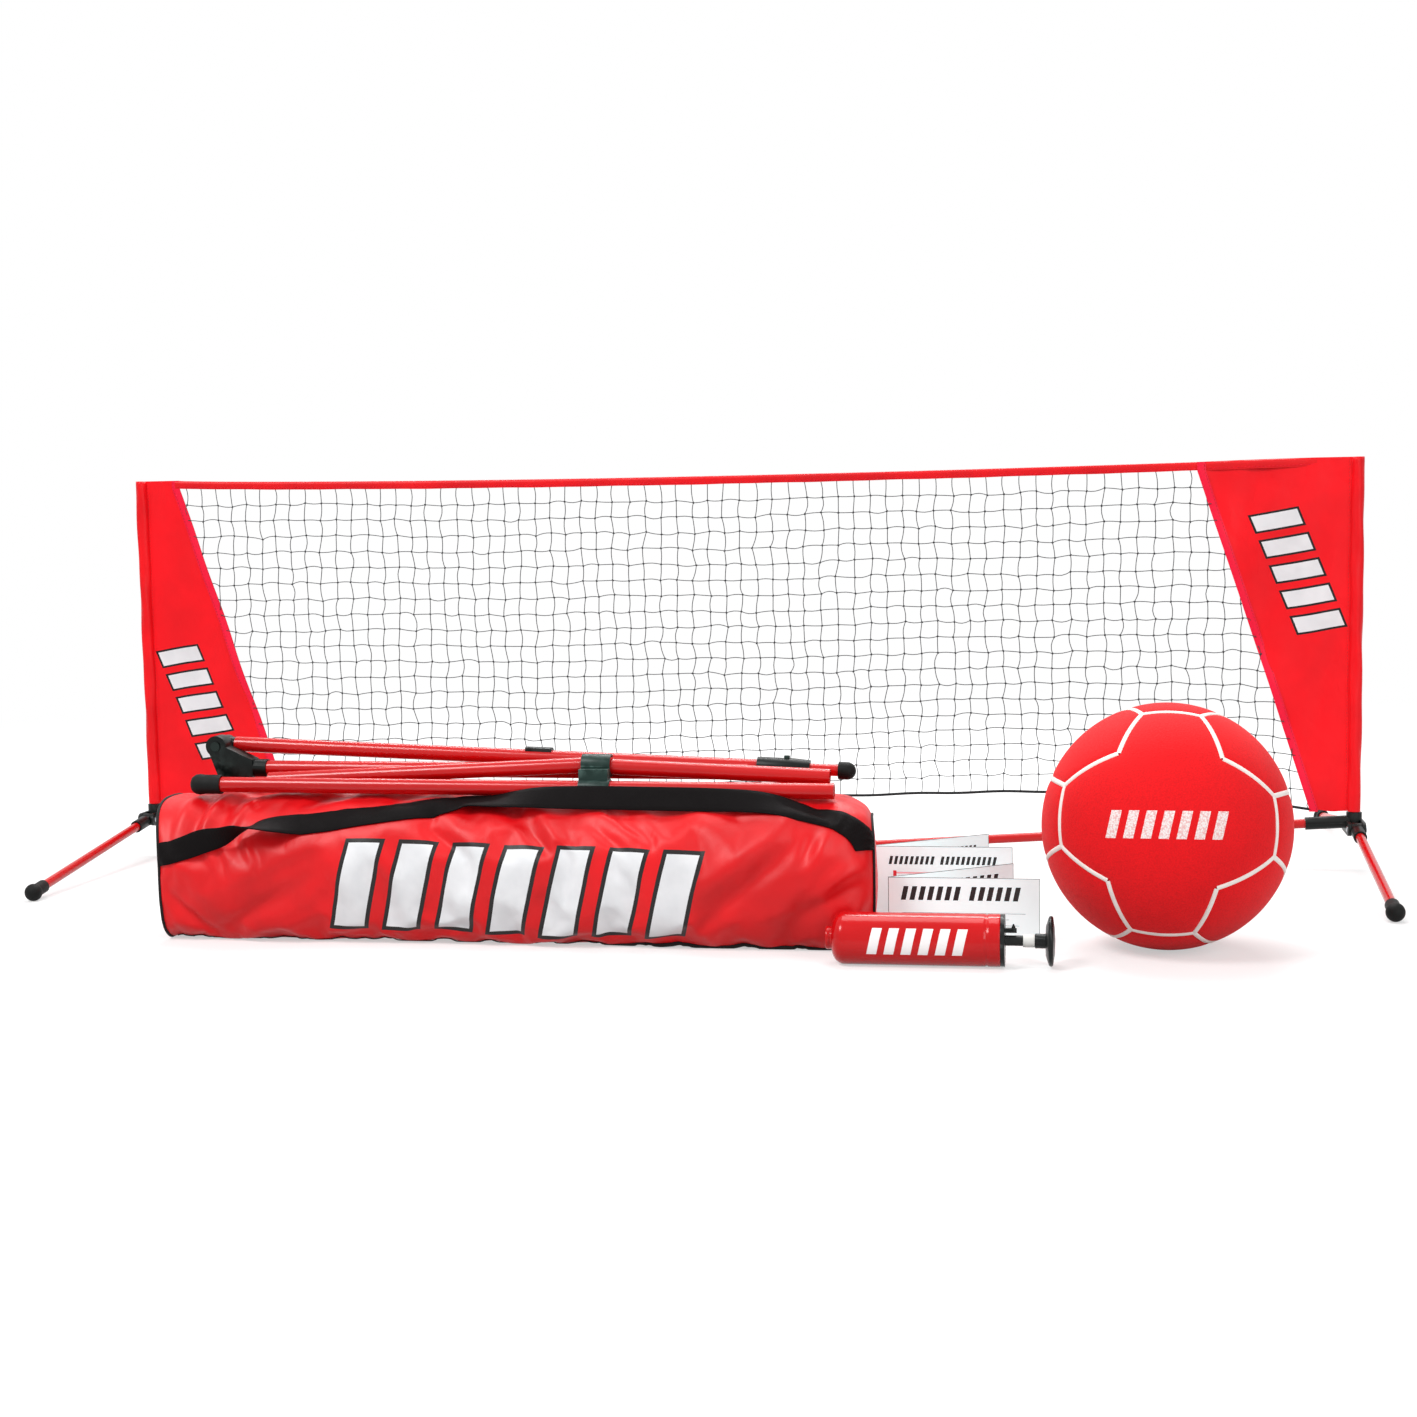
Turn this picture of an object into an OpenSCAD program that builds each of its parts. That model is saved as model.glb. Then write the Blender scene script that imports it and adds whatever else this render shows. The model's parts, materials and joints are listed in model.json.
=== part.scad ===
// Soccer-tennis net set: a free-standing net on a tube frame with folding legs, a packed
// carry bag with a bundle of folding poles on it, a hand pump, a ball and two leaflets.
// Millimetres. The ground is z = 0, +X runs along the net and the player's side is -Y.

/* [Net] */
// Width of the net over its two pole sleeves
net_w = 1520; // [1480:10:1560]
// Height of the net's top edge above the ground
net_h = 482; // [470:1:500]
// Height of the net's bottom edge above the ground
net_low = 66; // [66:1:72]
// Spacing of the netting's cords
mesh = 20; // [16:1:30]
// Thickness of a netting cord
twine = 1.2; // [0.8:0.1:1.6]
// Width of an end panel at its wide end
panel_wide = 189; // [150:1:210]
// Width of an end panel at its narrow end
panel_slim = 58; // [45:1:90]

/* [Frame] */
// Outer diameter of the frame's tubes
tube_d = 11; // [10.5:0.1:11]
// Wall of every tube
wall = 1; // [0.8:0.1:1.2]
// Distance of a leg's foot from the plane of the net
leg_reach = 335; // [320:5:350]
// Height of the leg hinges above the ground
hinge_z = 48; // [46:1:50]

/* [Ball] */
// Diameter of the ball
ball_d = 241; // [230:1:244]

/* [Pump] */
// Outer diameter of the pump's barrel
barrel_d = 50; // [46:1:50]
// Length of the pump's barrel with its nozzle
barrel_l = 166; // [160:1:168]

/* [Bag] */
// Length of the bag's body
bag_l = 722; // [700:2:724]
// Depth of the bag from front to back
bag_w = 158; // [150:1:160]
// Height of the packed bag
bag_h = 148; // [146:1:149]
// Width of the shoulder strap's webbing
strap_w = 25; // [22:1:28]

/* [Poles] */
// Outer diameter of the bundled poles
pole_d = 16; // [15:0.5:16]
// Outer diameter of the telescopic pole's inner tube
inner_d = 12; // [11:0.5:12]

/* [Leaflets] */
// Width of a closed leaflet
leaf_w = 150; // [130:1:152]
// Thickness of one leaf
leaf_t = 0.8; // [0.5:0.1:1]

/* [Hidden] */
$fn = 48;
gap = 0.1;      // clearance of a tube in its socket, and of a pin in its bore
soft_gap = 0.3; // clearance between a soft piece and its neighbour

// Frame
tube_r = tube_d / 2;
sleeve_r = 7.8;
upright_x = net_w / 2 - sleeve_r;
socket_r = 9;
socket_top = net_low - 1;
socket_floor = 40;
upright_foot = 48;
rail_z = 54;                    // rail axis at the uprights
coupler_z = 9;                  // rail axis at the middle of the net
rail_tilt = atan((rail_z - coupler_z) / upright_x);
rail_l = norm([upright_x, rail_z - coupler_z]);
rail_socket = 56;
rail_socket_r = 7.5;
hinge_y = 24;
foot_r = 10;
leg_tilt = atan((hinge_z - foot_r) / (leg_reach - hinge_y));
leg_l = norm([leg_reach - hinge_y, hinge_z - foot_r]);
pin_r = 2;
ear_r = 8;
ear_in = 6.2;
ear_t = 4;
lug_w = 11.6;
ferrule_r = 7.6;

// Where the loose pieces stand, measured from the plane of the net
bag_y = -468;
ball_x = 515;
ball_y = -483;
pump_x = 192;
pump_y = -582;
front_reach = -pump_y + barrel_d / 2;
net_y = (front_reach - leg_reach - foot_r) / 2;

// Netting
tape_h = 10;
hem_h = 4;
net_top = net_h - tape_h;
net_bottom = net_low + hem_h;
slim_x = net_w / 2 - panel_slim;
wide_x = net_w / 2 - panel_wide;
fabric = 1.2;
rows = round((net_top - net_bottom) / mesh);
row_step = (net_top - net_bottom) / rows;
columns = round((slim_x + wide_x) / mesh);
column_step = (slim_x + wide_x) / columns;

// x of the left panel's slanted edge at height z; the right one is its half turn
function left_edge(z) = -slim_x + (slim_x - wide_x) * (net_top - z) / (net_top - net_bottom);
function right_edge(z) = -left_edge(net_top + net_bottom - z);
// height at which the left panel's slanted edge crosses x
function edge_height(x) = net_top - (x + slim_x) / (slim_x - wide_x) * (net_top - net_bottom);

module at_net() {
    translate([0, net_y, 0]) children();
}

// side = -1 left, 1 right
module on_side(side) {
    at_net() mirror([side < 0 ? 1 : 0, 0, 0]) translate([upright_x, 0, 0]) children();
}

module along_x(h, r) {
    translate([-h / 2, 0, 0]) rotate([0, 90, 0]) cylinder(h = h, r = r);
}

module along_y(h, r) {
    rotate([-90, 0, 0]) cylinder(h = h, r = r);
}

// Frame: corner connectors, uprights and rails
module corner_connector(side) {
    color("#191c1b") on_side(side) difference() {
        union() {
            translate([0, 0, socket_floor])
                cylinder(h = socket_top - socket_floor, r = socket_r);
            translate([0, 0, rail_z]) rotate([0, -90 - rail_tilt, 0])
                cylinder(h = rail_socket, r = rail_socket_r);
            for (out = [-1, 1], x = [-1, 1]) translate([x * (ear_in + ear_t / 2), 0, hinge_z]) {
                translate([-ear_t / 2, out < 0 ? -hinge_y : 0, -ear_r])
                    cube([ear_t, hinge_y, 2 * ear_r]);
                translate([0, out * hinge_y, 0]) along_x(ear_t, ear_r);
            }
        }
        translate([0, 0, upright_foot]) cylinder(h = socket_top, r = tube_r + gap);
        translate([0, 0, rail_z]) rotate([0, -90 - rail_tilt, 0])
            translate([0, 0, rail_socket - 36]) cylinder(h = 40, r = tube_r + gap);
        for (out = [-1, 1]) translate([0, out * hinge_y, hinge_z])
            along_x(40, pin_r + 0.05);
    }
}

module upright(side) {
    color("#d8201e") on_side(side) translate([0, 0, upright_foot + gap]) difference() {
        cylinder(h = net_h - 6 - upright_foot, r = tube_r);
        translate([0, 0, -1]) cylinder(h = net_h, r = tube_r - wall);
    }
}

module upright_caps() {
    color("#191c1b") for (side = [-1, 1]) on_side(side) translate([0, 0, net_h - 6 + 2 * gap]) {
        cylinder(h = 4, r = tube_r);
        translate([0, 0, -10]) cylinder(h = 10.5, r = tube_r - wall - gap);
    }
}

module rail(side) {
    color("#d8201e") at_net() mirror([side < 0 ? 1 : 0, 0, 0]) translate([0, 0, coupler_z])
        rotate([0, 90 - rail_tilt, 0]) translate([0, 0, 6]) difference() {
            cylinder(h = rail_l - 6 - 21, r = tube_r);
            translate([0, 0, -1]) cylinder(h = rail_l, r = tube_r - wall);
        }
}

module rail_coupler() {
    color("#191c1b") at_net() difference() {
        union() {
            for (side = [-1, 1]) mirror([side < 0 ? 1 : 0, 0, 0]) translate([0, 0, coupler_z])
                rotate([0, 90 - rail_tilt, 0]) cylinder(h = 42, r = 8);
            translate([-22, -9, 0]) cube([44, 18, 8]);
        }
        for (side = [-1, 1]) mirror([side < 0 ? 1 : 0, 0, 0]) translate([0, 0, coupler_z])
            rotate([0, 90 - rail_tilt, 0]) translate([0, 0, 5]) cylinder(h = 50, r = tube_r + gap);
    }
}

module leg_hinge_pins() {
    color("#b9bcc0") for (side = [-1, 1], out = [-1, 1])
        on_side(side) translate([0, out * hinge_y, hinge_z]) {
            along_x(2 * (ear_in + ear_t), pin_r);
            for (x = [-1, 1]) translate([x * (ear_in + ear_t + 0.6), 0, 0]) along_x(1.2, 3.4);
        }
}

// Legs: each is drawn along +Y from its hinge, tilted down to its foot
module leg_frame(side, out) {
    on_side(side) mirror([0, out < 0 ? 1 : 0, 0]) translate([0, hinge_y, hinge_z])
        rotate([-leg_tilt, 0, 0]) children();
}

module leg_lug(side, out) {
    color("#191c1b") leg_frame(side, out) difference() {
        union() {
            along_x(lug_w, 7.5);
            translate([-lug_w / 2, 0, -5.5]) cube([lug_w, 13, 11]);
            translate([0, 11, 0]) along_y(25, ferrule_r);
        }
        along_x(20, pin_r + 0.05);
        translate([0, 15, 0]) along_y(30, tube_r + gap);
    }
}

module leg_tube(side, out) {
    color("#e01f1f") leg_frame(side, out) translate([0, 15.2, 0]) difference() {
        along_y(leg_l - 15.2 - 8, tube_r);
        translate([0, -1, 0]) along_y(leg_l, tube_r - wall);
    }
}

module leg_foot(side, out) {
    color("#0f1010") leg_frame(side, out) difference() {
        union() {
            translate([0, leg_l - 24, 0]) along_y(24, 7.6);
            translate([0, leg_l, 0]) sphere(r = foot_r);
        }
        translate([0, leg_l - 25, 0]) along_y(17.2, tube_r + gap);
    }
}

// Net: end panels, pole sleeves, tapes and netting
module panel(side) {
    color("#ee1c25") at_net() rotate([0, side < 0 ? 0 : 180, 0])
        translate([0, 0, side < 0 ? 0 : -net_low - net_h]) rotate([90, 0, 0])
            translate([0, 0, -fabric / 2]) linear_extrude(fabric) polygon([
                [-upright_x + sleeve_r, net_low], [-wide_x, net_low], [-wide_x, net_bottom],
                [-slim_x, net_top], [-slim_x, net_h], [-upright_x + sleeve_r, net_h]
            ]);
}

module pole_sleeves() {
    color("#e2181f") for (side = [-1, 1]) on_side(side) translate([0, 0, net_low])
        difference() {
            cylinder(h = net_h - net_low, r = sleeve_r);
            translate([0, 0, -1]) cylinder(h = net_h - net_low - 0.4, r = tube_r + 0.5);
        }
}

module top_tape() {
    color("#e2202a") at_net() translate([-slim_x, -1.5, net_top])
        cube([slim_x + wide_x, 3, tape_h]);
}

module bottom_tape() {
    color("#111312") at_net() translate([-wide_x, -1.5, net_low])
        cube([slim_x + wide_x, 3, hem_h]);
}

module netting_rows() {
    color("#2b2d2e") at_net() for (i = [1 : rows - 1]) {
        z = net_bottom + i * row_step;
        x0 = left_edge(z - twine / 2) + 0.2;
        x1 = right_edge(z + twine / 2) - 0.2;
        translate([x0, 0, z - twine / 2]) cube([x1 - x0, twine, twine]);
    }
}

module netting_columns() {
    color("#2b2d2e") at_net() for (j = [1 : 2 * columns]) {
        x = -slim_x + (j - 0.5) * column_step;
        low = x < -wide_x ? edge_height(x - twine / 2) + 0.2 : net_bottom;
        high = x > wide_x ? net_top + net_bottom - edge_height(-x - twine / 2) - 0.2 : net_top;
        if (x < slim_x - 1 && high - low > 2)
            translate([x - twine / 2, -twine, low]) cube([twine, twine, high - low]);
    }
}

// Ball
module at_ball() {
    translate([ball_x, net_y + ball_y, ball_d / 2]) children();
}

module valve_axis() {
    rotate([-55, 0, 0]) children();
}

module ball_cover() {
    color("#ee1b22") at_ball() difference() {
        sphere(r = ball_d / 2, $fn = 96);
        sphere(r = ball_d / 2 - 3, $fn = 96);
        valve_axis() cylinder(h = ball_d, r = 4);
    }
}

module ball_bladder() {
    color("#1a1a1a") at_ball() difference() {
        sphere(r = ball_d / 2 - 3.1, $fn = 96);
        sphere(r = ball_d / 2 - 4.2, $fn = 96);
        valve_axis() cylinder(h = ball_d, r = 4);
    }
}

module ball_valve() {
    color("#101010") at_ball() valve_axis() difference() {
        union() {
            translate([0, 0, ball_d / 2 - 18]) cylinder(h = 17.4, r = 3.9);
            translate([0, 0, ball_d / 2 - 7.4]) cylinder(h = 2.4, r = 8);
        }
        translate([0, 0, ball_d / 2 - 15]) cylinder(h = 20, r = 0.9);
    }
}

// Pump: drawn along +Z from its nozzle, laid along +X
barrel_r = barrel_d / 2;
bore_r = barrel_r - 2.5;
rod_r = 5;
cap_h = 4;
piston_at = 44;
band_at = barrel_l + 21;
neck_at = barrel_l + 32;
disc_at = barrel_l + 42;

module at_pump() {
    translate([pump_x, net_y + pump_y, barrel_r]) rotate([0, 90, 0]) children();
}

module pump_barrel() {
    color("#dc1219") at_pump() rotate_extrude() polygon(concat(
        [[3.75, 0], [10.4, 0], [11, 0.8], [11, 6]],
        [for (a = [0 : 15 : 90]) [11 + (barrel_r - 11) * sin(a), 6 + 12 * (1 - cos(a))]],
        [[barrel_r, barrel_l], [bore_r, barrel_l], [bore_r, 20], [1.5, 20], [1.5, 11], [3.75, 11]]
    ));
}

module pump_end_cap() {
    color("#17191a") at_pump() difference() {
        union() {
            translate([0, 0, barrel_l + 0.05]) cylinder(h = cap_h, r = barrel_r - 0.4);
            translate([0, 0, barrel_l - 9]) cylinder(h = 10, r = bore_r - gap);
            // needle holder on the cap's face
            translate([-9.8, 0, barrel_l + cap_h]) translate([-2, -2.5, -1]) cube([4, 5, 12]);
            translate([-9.5, 0, barrel_l + cap_h + 8]) rotate([0, -90, 0])
                cylinder(h = 6.5, r1 = 3, r2 = 0.6);
        }
        translate([0, 0, barrel_l - 20]) cylinder(h = 60, r = rod_r + gap);
    }
}

module pump_rod() {
    color("#202325") at_pump() translate([0, 0, piston_at + 3])
        cylinder(h = disc_at - piston_at - 5, r = rod_r);
}

module pump_piston() {
    color("#d9d9d4") at_pump() translate([0, 0, piston_at]) difference() {
        cylinder(h = 12, r = bore_r - 0.5);
        translate([0, 0, 2.95]) cylinder(h = 12, r = rod_r + 0.05);
        translate([0, 0, 4]) difference() {
            cylinder(h = 4, r = bore_r + 1);
            translate([0, 0, -1]) cylinder(h = 6, r = bore_r - 3.4);
        }
    }
}

module pump_seal() {
    color("#0e0e0e") at_pump() translate([0, 0, piston_at + 4.05]) difference() {
        cylinder(h = 3.9, r = bore_r - 0.05);
        translate([0, 0, -1]) cylinder(h = 6, r = bore_r - 3.35);
    }
}

module pump_rod_band() {
    color("#f2f2f0") at_pump() translate([0, 0, band_at]) difference() {
        cylinder(h = neck_at - band_at - 0.1, r = 6.2);
        translate([0, 0, -1]) cylinder(h = 20, r = rod_r + 0.05);
    }
}

module pump_handle() {
    color("#17191a") at_pump() difference() {
        union() {
            translate([0, 0, neck_at]) cylinder(h = disc_at - neck_at + 1, r = 7);
            translate([0, 0, disc_at]) rotate_extrude() polygon([
                [0, 0], [14, 0], [23, 3], [24, 5], [23, 7], [12, 8.6], [0, 9]
            ]);
        }
        translate([0, 0, neck_at - 1]) cylinder(h = disc_at - 2 - neck_at + 1, r = rod_r + 0.05);
    }
}

// Bag: a packed duffel, its section drawn in Y and Z and run along X
bag_x = -502;
bag_mid = 70;
bag_power = 2.5;

function curve(c, half) = half * sign(c) * pow(abs(c), 2 / bag_power);

function section_point(a, k) = [
    k * curve(cos(a), bag_w / 2),
    max(0, bag_mid + k * curve(sin(a), a < 180 ? bag_h - bag_mid : bag_mid + 4))
];

module bag_section(k) {
    polygon([for (a = [0 : 10 : 350]) section_point(a, k)]);
}

module at_bag() {
    translate([bag_x, net_y + bag_y, 0]) children();
}

module bag_run(x, length) {
    at_bag() translate([x, 0, 0]) rotate([90, 0, 90]) linear_extrude(length) children();
}

module bag_body() {
    color("#e3161d") bag_run(0, bag_l) bag_section(1);
}

module bag_end_panels() {
    color("#dd151c") for (x = [-9, bag_l + 0.1]) bag_run(x, 8.9) bag_section(0.95);
}

module bag_piping() {
    color("#121413") for (x = [-4, bag_l + 0.1]) bag_run(x, 3.9) difference() {
        bag_section(1.012);
        bag_section(0.955);
        translate([-bag_w, -1]) square([2 * bag_w, 4]);
    }
}

// The flat of the bag's upper shoulder, where the zip and the strap lie
shoulder = (section_point(50, 1) + section_point(60, 1)) / 2;
shoulder_step = section_point(60, 1) - section_point(50, 1);
shoulder_slope = atan2(shoulder_step[1], -shoulder_step[0]);

module on_shoulder(back) {
    at_bag() translate([0, back * shoulder[0], shoulder[1]])
        rotate([-back * shoulder_slope, 0, 0]) children();
}

module bag_zip() {
    color("#1a1b1c") on_shoulder(1) {
        translate([40, -14, 0.4]) cube([600, 28, 1]);
        translate([46, -2.5, 1.4]) cube([588, 5, 1.4]);
    }
}

module zip_slider() {
    color("#8f9296") on_shoulder(1) {
        translate([52, -4.5, 3.1]) cube([12, 9, 3.4]);
        translate([62, -3, 3.3]) cube([28, 6, 1.6]);
    }
}

// Stops of the strap, from the left seam to the right one: distance along the bag, and
// angle round it from the middle of the front
strap_route = [
    [-13, 12], [16, 14], [60, 23], [85, 27], [109, 33], [161, 39], [210, 46],
    [261, 52], [300, 56], [660, 56], [689, 52], [708, 45], [722, 38], [735, 33]
];

// A short length of the strap at one stop, from low to high above the bag
module strap_slab(stop, low, high, width) {
    p = section_point(stop[1], 1);
    step = section_point(stop[1] + 4, 1) - section_point(stop[1] - 4, 1);
    translate([stop[0] * bag_l / 722, -p[0], p[1]]) rotate([atan2(step[1], -step[0]), 0, 0])
        translate([-1, -width / 2, low]) cube([2, width, high - low]);
}

module shoulder_strap() {
    last = len(strap_route) - 1;
    color("#141615") at_bag() {
        for (i = [0 : last - 1]) hull() {
            strap_slab(strap_route[i], 2.4, 4, strap_w);
            strap_slab(strap_route[i + 1], 2.4, 4, strap_w);
        }
        // the ends turn down over the end panels
        for (i = [0, last]) strap_slab(strap_route[i], -14, 4, strap_w);
    }
}

// Bundle of folding poles lying on the bag. Each pole has its own lane in Y.
pole_r = pole_d / 2;
lane = 18;
lane_c = bag_y - 30;
lane_b = lane_c + lane;
lane_a = lane_b + lane;
lane_t = lane_a + lane;
clip_x = -52;
clip_l = 30;
knuckle_x = -466;
knuckle_z = 195;
socket_x = -412;
fold_drop = 2.3;       // slope of the folded telescopic pole, degrees
outer_end = 592;
collar_l = 54;
inner_end = 665;

module at_lane(y) {
    translate([0, net_y + y, 0]) children();
}

// A straight bar from [x0, z0] to [x1, z1] in one lane
module bar(a, b, r) {
    d = b - a;
    translate([a[0], 0, a[1]]) rotate([0, 90 - atan2(d[1], d[0]), 0]) cylinder(h = norm(d), r = r);
}

module hollow_bar(a, b, r) {
    u = (b - a) / norm(b - a);
    difference() {
        bar(a, b, r);
        bar(a - u, b + u, r - wall);
    }
}

pole_a = [[socket_x - 24, 171.5], [100, 169]];
pole_b = [[-404, 161], [clip_x - 0.6, 178.5]];
pole_d_ends = [[clip_x + 0.6, 177], [186, 166.6]];
pole_c = [[-467, 158.5], [192, 154.8]];
clip_b = [clip_x, 177.7];
clip_c = [clip_x, 156];

module bundle_poles() {
    color("#df2a28") {
        at_lane(lane_a) hollow_bar(pole_a[0], pole_a[1], pole_r);
        at_lane(lane_b) hollow_bar(pole_b[0], pole_b[1], pole_r);
        at_lane(lane_b) hollow_bar(pole_d_ends[0], pole_d_ends[1], pole_r);
        at_lane(lane_c) hollow_bar(pole_c[0], pole_c[1], pole_r);
    }
}

module pole_clip() {
    color("#2f4a46") difference() {
        union() {
            at_lane(lane_b) translate([clip_b[0], 0, clip_b[1]]) along_x(clip_l, 11.6);
            at_lane(lane_c) translate([clip_c[0] + 1, 0, clip_c[1]]) along_x(clip_l + 2, 10);
            at_lane(lane_c) translate([clip_x - clip_l / 2, -4, clip_c[1]])
                cube([clip_l, 14, 20]);
        }
        at_lane(lane_b) translate([clip_b[0], 0, clip_b[1]]) along_x(60, pole_r + 1.5);
        at_lane(lane_c) translate([clip_c[0], 0, clip_c[1]]) along_x(60, pole_r + 0.6);
        // open mouth towards the next pole
        at_lane(lane_b) translate([clip_x - clip_l, 6, clip_c[1] - 20])
            cube([2 * clip_l, 12, 60]);
    }
}

module pole_foot_cap() {
    color("#0f1010") at_lane(lane_c) translate([pole_c[0][0], 0, pole_c[0][1]]) rotate([0, 90, 0])
        rotate_extrude() polygon([
            [0, -16], [4, -15.6], [8, -13.6], [10.2, -10], [10.8, -6], [10, 0], [10, 18],
            [pole_r + 0.3, 18], [pole_r + 0.3, -0.3], [0, -0.3]
        ]);
}

module folding_knuckle() {
    color("#1e2b29") at_lane(lane_a) difference() {
        union() {
            translate([0, 9.4, 0]) rotate([90, 0, 0]) linear_extrude(18.8) polygon([
                [knuckle_x - 11, knuckle_z + 2], [knuckle_x + 11, knuckle_z - 1],
                [socket_x - 14, 180.9], [socket_x - 14, 162], [knuckle_x + 2, 162]
            ]);
            translate([knuckle_x, -9.4, knuckle_z]) along_y(18.8, 11);
            bar([socket_x - 36, 171.6], [socket_x, 171.4], 9.4);
        }
        bar([socket_x - 24.2, 171.5], [socket_x + 10, 171.34], pole_r + gap);
        translate([knuckle_x, -20, knuckle_z]) along_y(40, 2.55);
    }
}

module knuckle_pin() {
    color("#b9bcc0") at_lane(lane_a) translate([knuckle_x, 0, knuckle_z]) {
        translate([0, -10, 0]) along_y(36.6, 2.5);
        for (y = [-11.4, 26.2]) translate([0, y, 0]) along_y(1.6, 5);
    }
}

// The telescopic pole, drawn along +Z from its hinge and laid down its slope
module on_telescope() {
    at_lane(lane_t) translate([knuckle_x, 0, knuckle_z]) rotate([0, 90 + fold_drop, 0])
        children();
}

module telescopic_hinge_lug() {
    color("#1e2b29") on_telescope() difference() {
        union() {
            rotate([-90, 0, 0]) translate([0, 0, -7.6]) cylinder(h = 15.4, r = 9);
            cylinder(h = 30, r = pole_r - wall - gap);
            cylinder(h = 11.9, r = pole_r - 0.4);
        }
        rotate([-90, 0, 0]) translate([0, 0, -20]) cylinder(h = 40, r = 2.55);
    }
}

module telescopic_outer_tube() {
    color("#e03631") on_telescope() translate([0, 0, 12]) difference() {
        cylinder(h = outer_end - 12, r = pole_r);
        translate([0, 0, -1]) cylinder(h = outer_end, r = pole_r - wall);
    }
}

module telescopic_clip() {
    color("#191c1b") on_telescope() translate([0, 0, 330]) difference() {
        cylinder(h = 28, r = 11);
        translate([0, 0, -1]) cylinder(h = 30, r = pole_r + 0.1);
        translate([-20, -20, -1]) cube([40, 15, 30]);
    }
}

module telescopic_collar() {
    color("#152b2d") on_telescope() difference() {
        union() {
            translate([0, 0, outer_end - 18]) cylinder(h = 36, r = 10.6);
            translate([0, 0, outer_end + 18]) cylinder(h = collar_l - 36, r1 = 10.6, r2 = 9.4);
        }
        translate([0, 0, outer_end - 20]) cylinder(h = 20.1, r = pole_r + gap);
        translate([0, 0, outer_end - 1]) cylinder(h = 80, r = inner_d / 2 + gap);
        translate([0, 0, outer_end + 12]) rotate([0, -90, 0]) cylinder(h = 20, r = 3.2);
    }
}

module telescopic_lock_button() {
    color("#2f4a46") on_telescope() translate([0, 0, outer_end + 12]) rotate([0, -90, 0])
        translate([0, 0, inner_d / 2 + 1.6]) cylinder(h = 5.6, r = 3.1);
}

module telescopic_inner_tube() {
    color("#e02320") on_telescope() translate([0, 0, 330]) difference() {
        cylinder(h = inner_end - 330, r = inner_d / 2);
        translate([0, 0, -1]) cylinder(h = inner_end, r = inner_d / 2 - wall);
    }
}

module telescopic_end_cap() {
    color("#0f1010") on_telescope() difference() {
        union() {
            translate([0, 0, inner_end - 8]) cylinder(h = 9, r = 9);
            translate([0, 0, inner_end + 1]) sphere(r = 9);
        }
        translate([0, 0, inner_end - 9]) cylinder(h = 9.2, r = inner_d / 2 + gap);
    }
}

// Leaflets: folded cards standing on their lower edges, a front leaf and a back leaf
rules_at = [243, -478];
rules_h = 66;
guide_at = [213, -360];
guide_h = 78;
leaf_open = 35;        // angle between the two leaves of a standing leaflet, degrees
fold_gap = 0.4;

module leaf(at, h, open) {
    color("#f6f6f4") translate([at[0], net_y + at[1], 0]) rotate([0, 0, open])
        translate([fold_gap, open > 0 ? fold_gap : -leaf_t, 0]) cube([leaf_w, leaf_t, h]);
}

corner_connector(-1);  // left_corner_connector
corner_connector(1);  // right_corner_connector
upright(-1);  // left_upright
upright(1);  // right_upright
upright_caps();
rail(-1);  // left_rail
rail(1);  // right_rail
rail_coupler();
leg_hinge_pins();
panel(-1);  // left_end_panel
panel(1);  // right_end_panel
pole_sleeves();
top_tape();
bottom_tape();
netting_rows();
netting_columns();
leg_lug(-1, -1);  // front_left_leg_lug
leg_tube(-1, -1);  // front_left_leg_tube
leg_foot(-1, -1);  // front_left_leg_foot
leg_lug(-1, 1);  // rear_left_leg_lug
leg_tube(-1, 1);  // rear_left_leg_tube
leg_foot(-1, 1);  // rear_left_leg_foot
leg_lug(1, -1);  // front_right_leg_lug
leg_tube(1, -1);  // front_right_leg_tube
leg_foot(1, -1);  // front_right_leg_foot
leg_lug(1, 1);  // rear_right_leg_lug
leg_tube(1, 1);  // rear_right_leg_tube
leg_foot(1, 1);  // rear_right_leg_foot
ball_cover();
ball_bladder();
ball_valve();
pump_barrel();
pump_end_cap();
pump_rod();
pump_piston();
pump_seal();
pump_rod_band();
pump_handle();
bag_body();
bag_end_panels();
bag_piping();
bag_zip();
zip_slider();
shoulder_strap();
folding_knuckle();
knuckle_pin();
bundle_poles();
pole_clip();
pole_foot_cap();
telescopic_outer_tube();
telescopic_hinge_lug();
telescopic_clip();
telescopic_collar();
telescopic_lock_button();
telescopic_inner_tube();
telescopic_end_cap();
leaf(rules_at, rules_h, 0);  // rules_front_leaf
leaf(rules_at, rules_h, leaf_open);  // rules_back_leaf
leaf(guide_at, guide_h, 0);  // guide_front_leaf
leaf(guide_at, guide_h, leaf_open);  // guide_back_leaf
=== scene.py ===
import json
import math

import bmesh
import bpy
import numpy as np
from mathutils import Matrix, Vector


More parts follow.
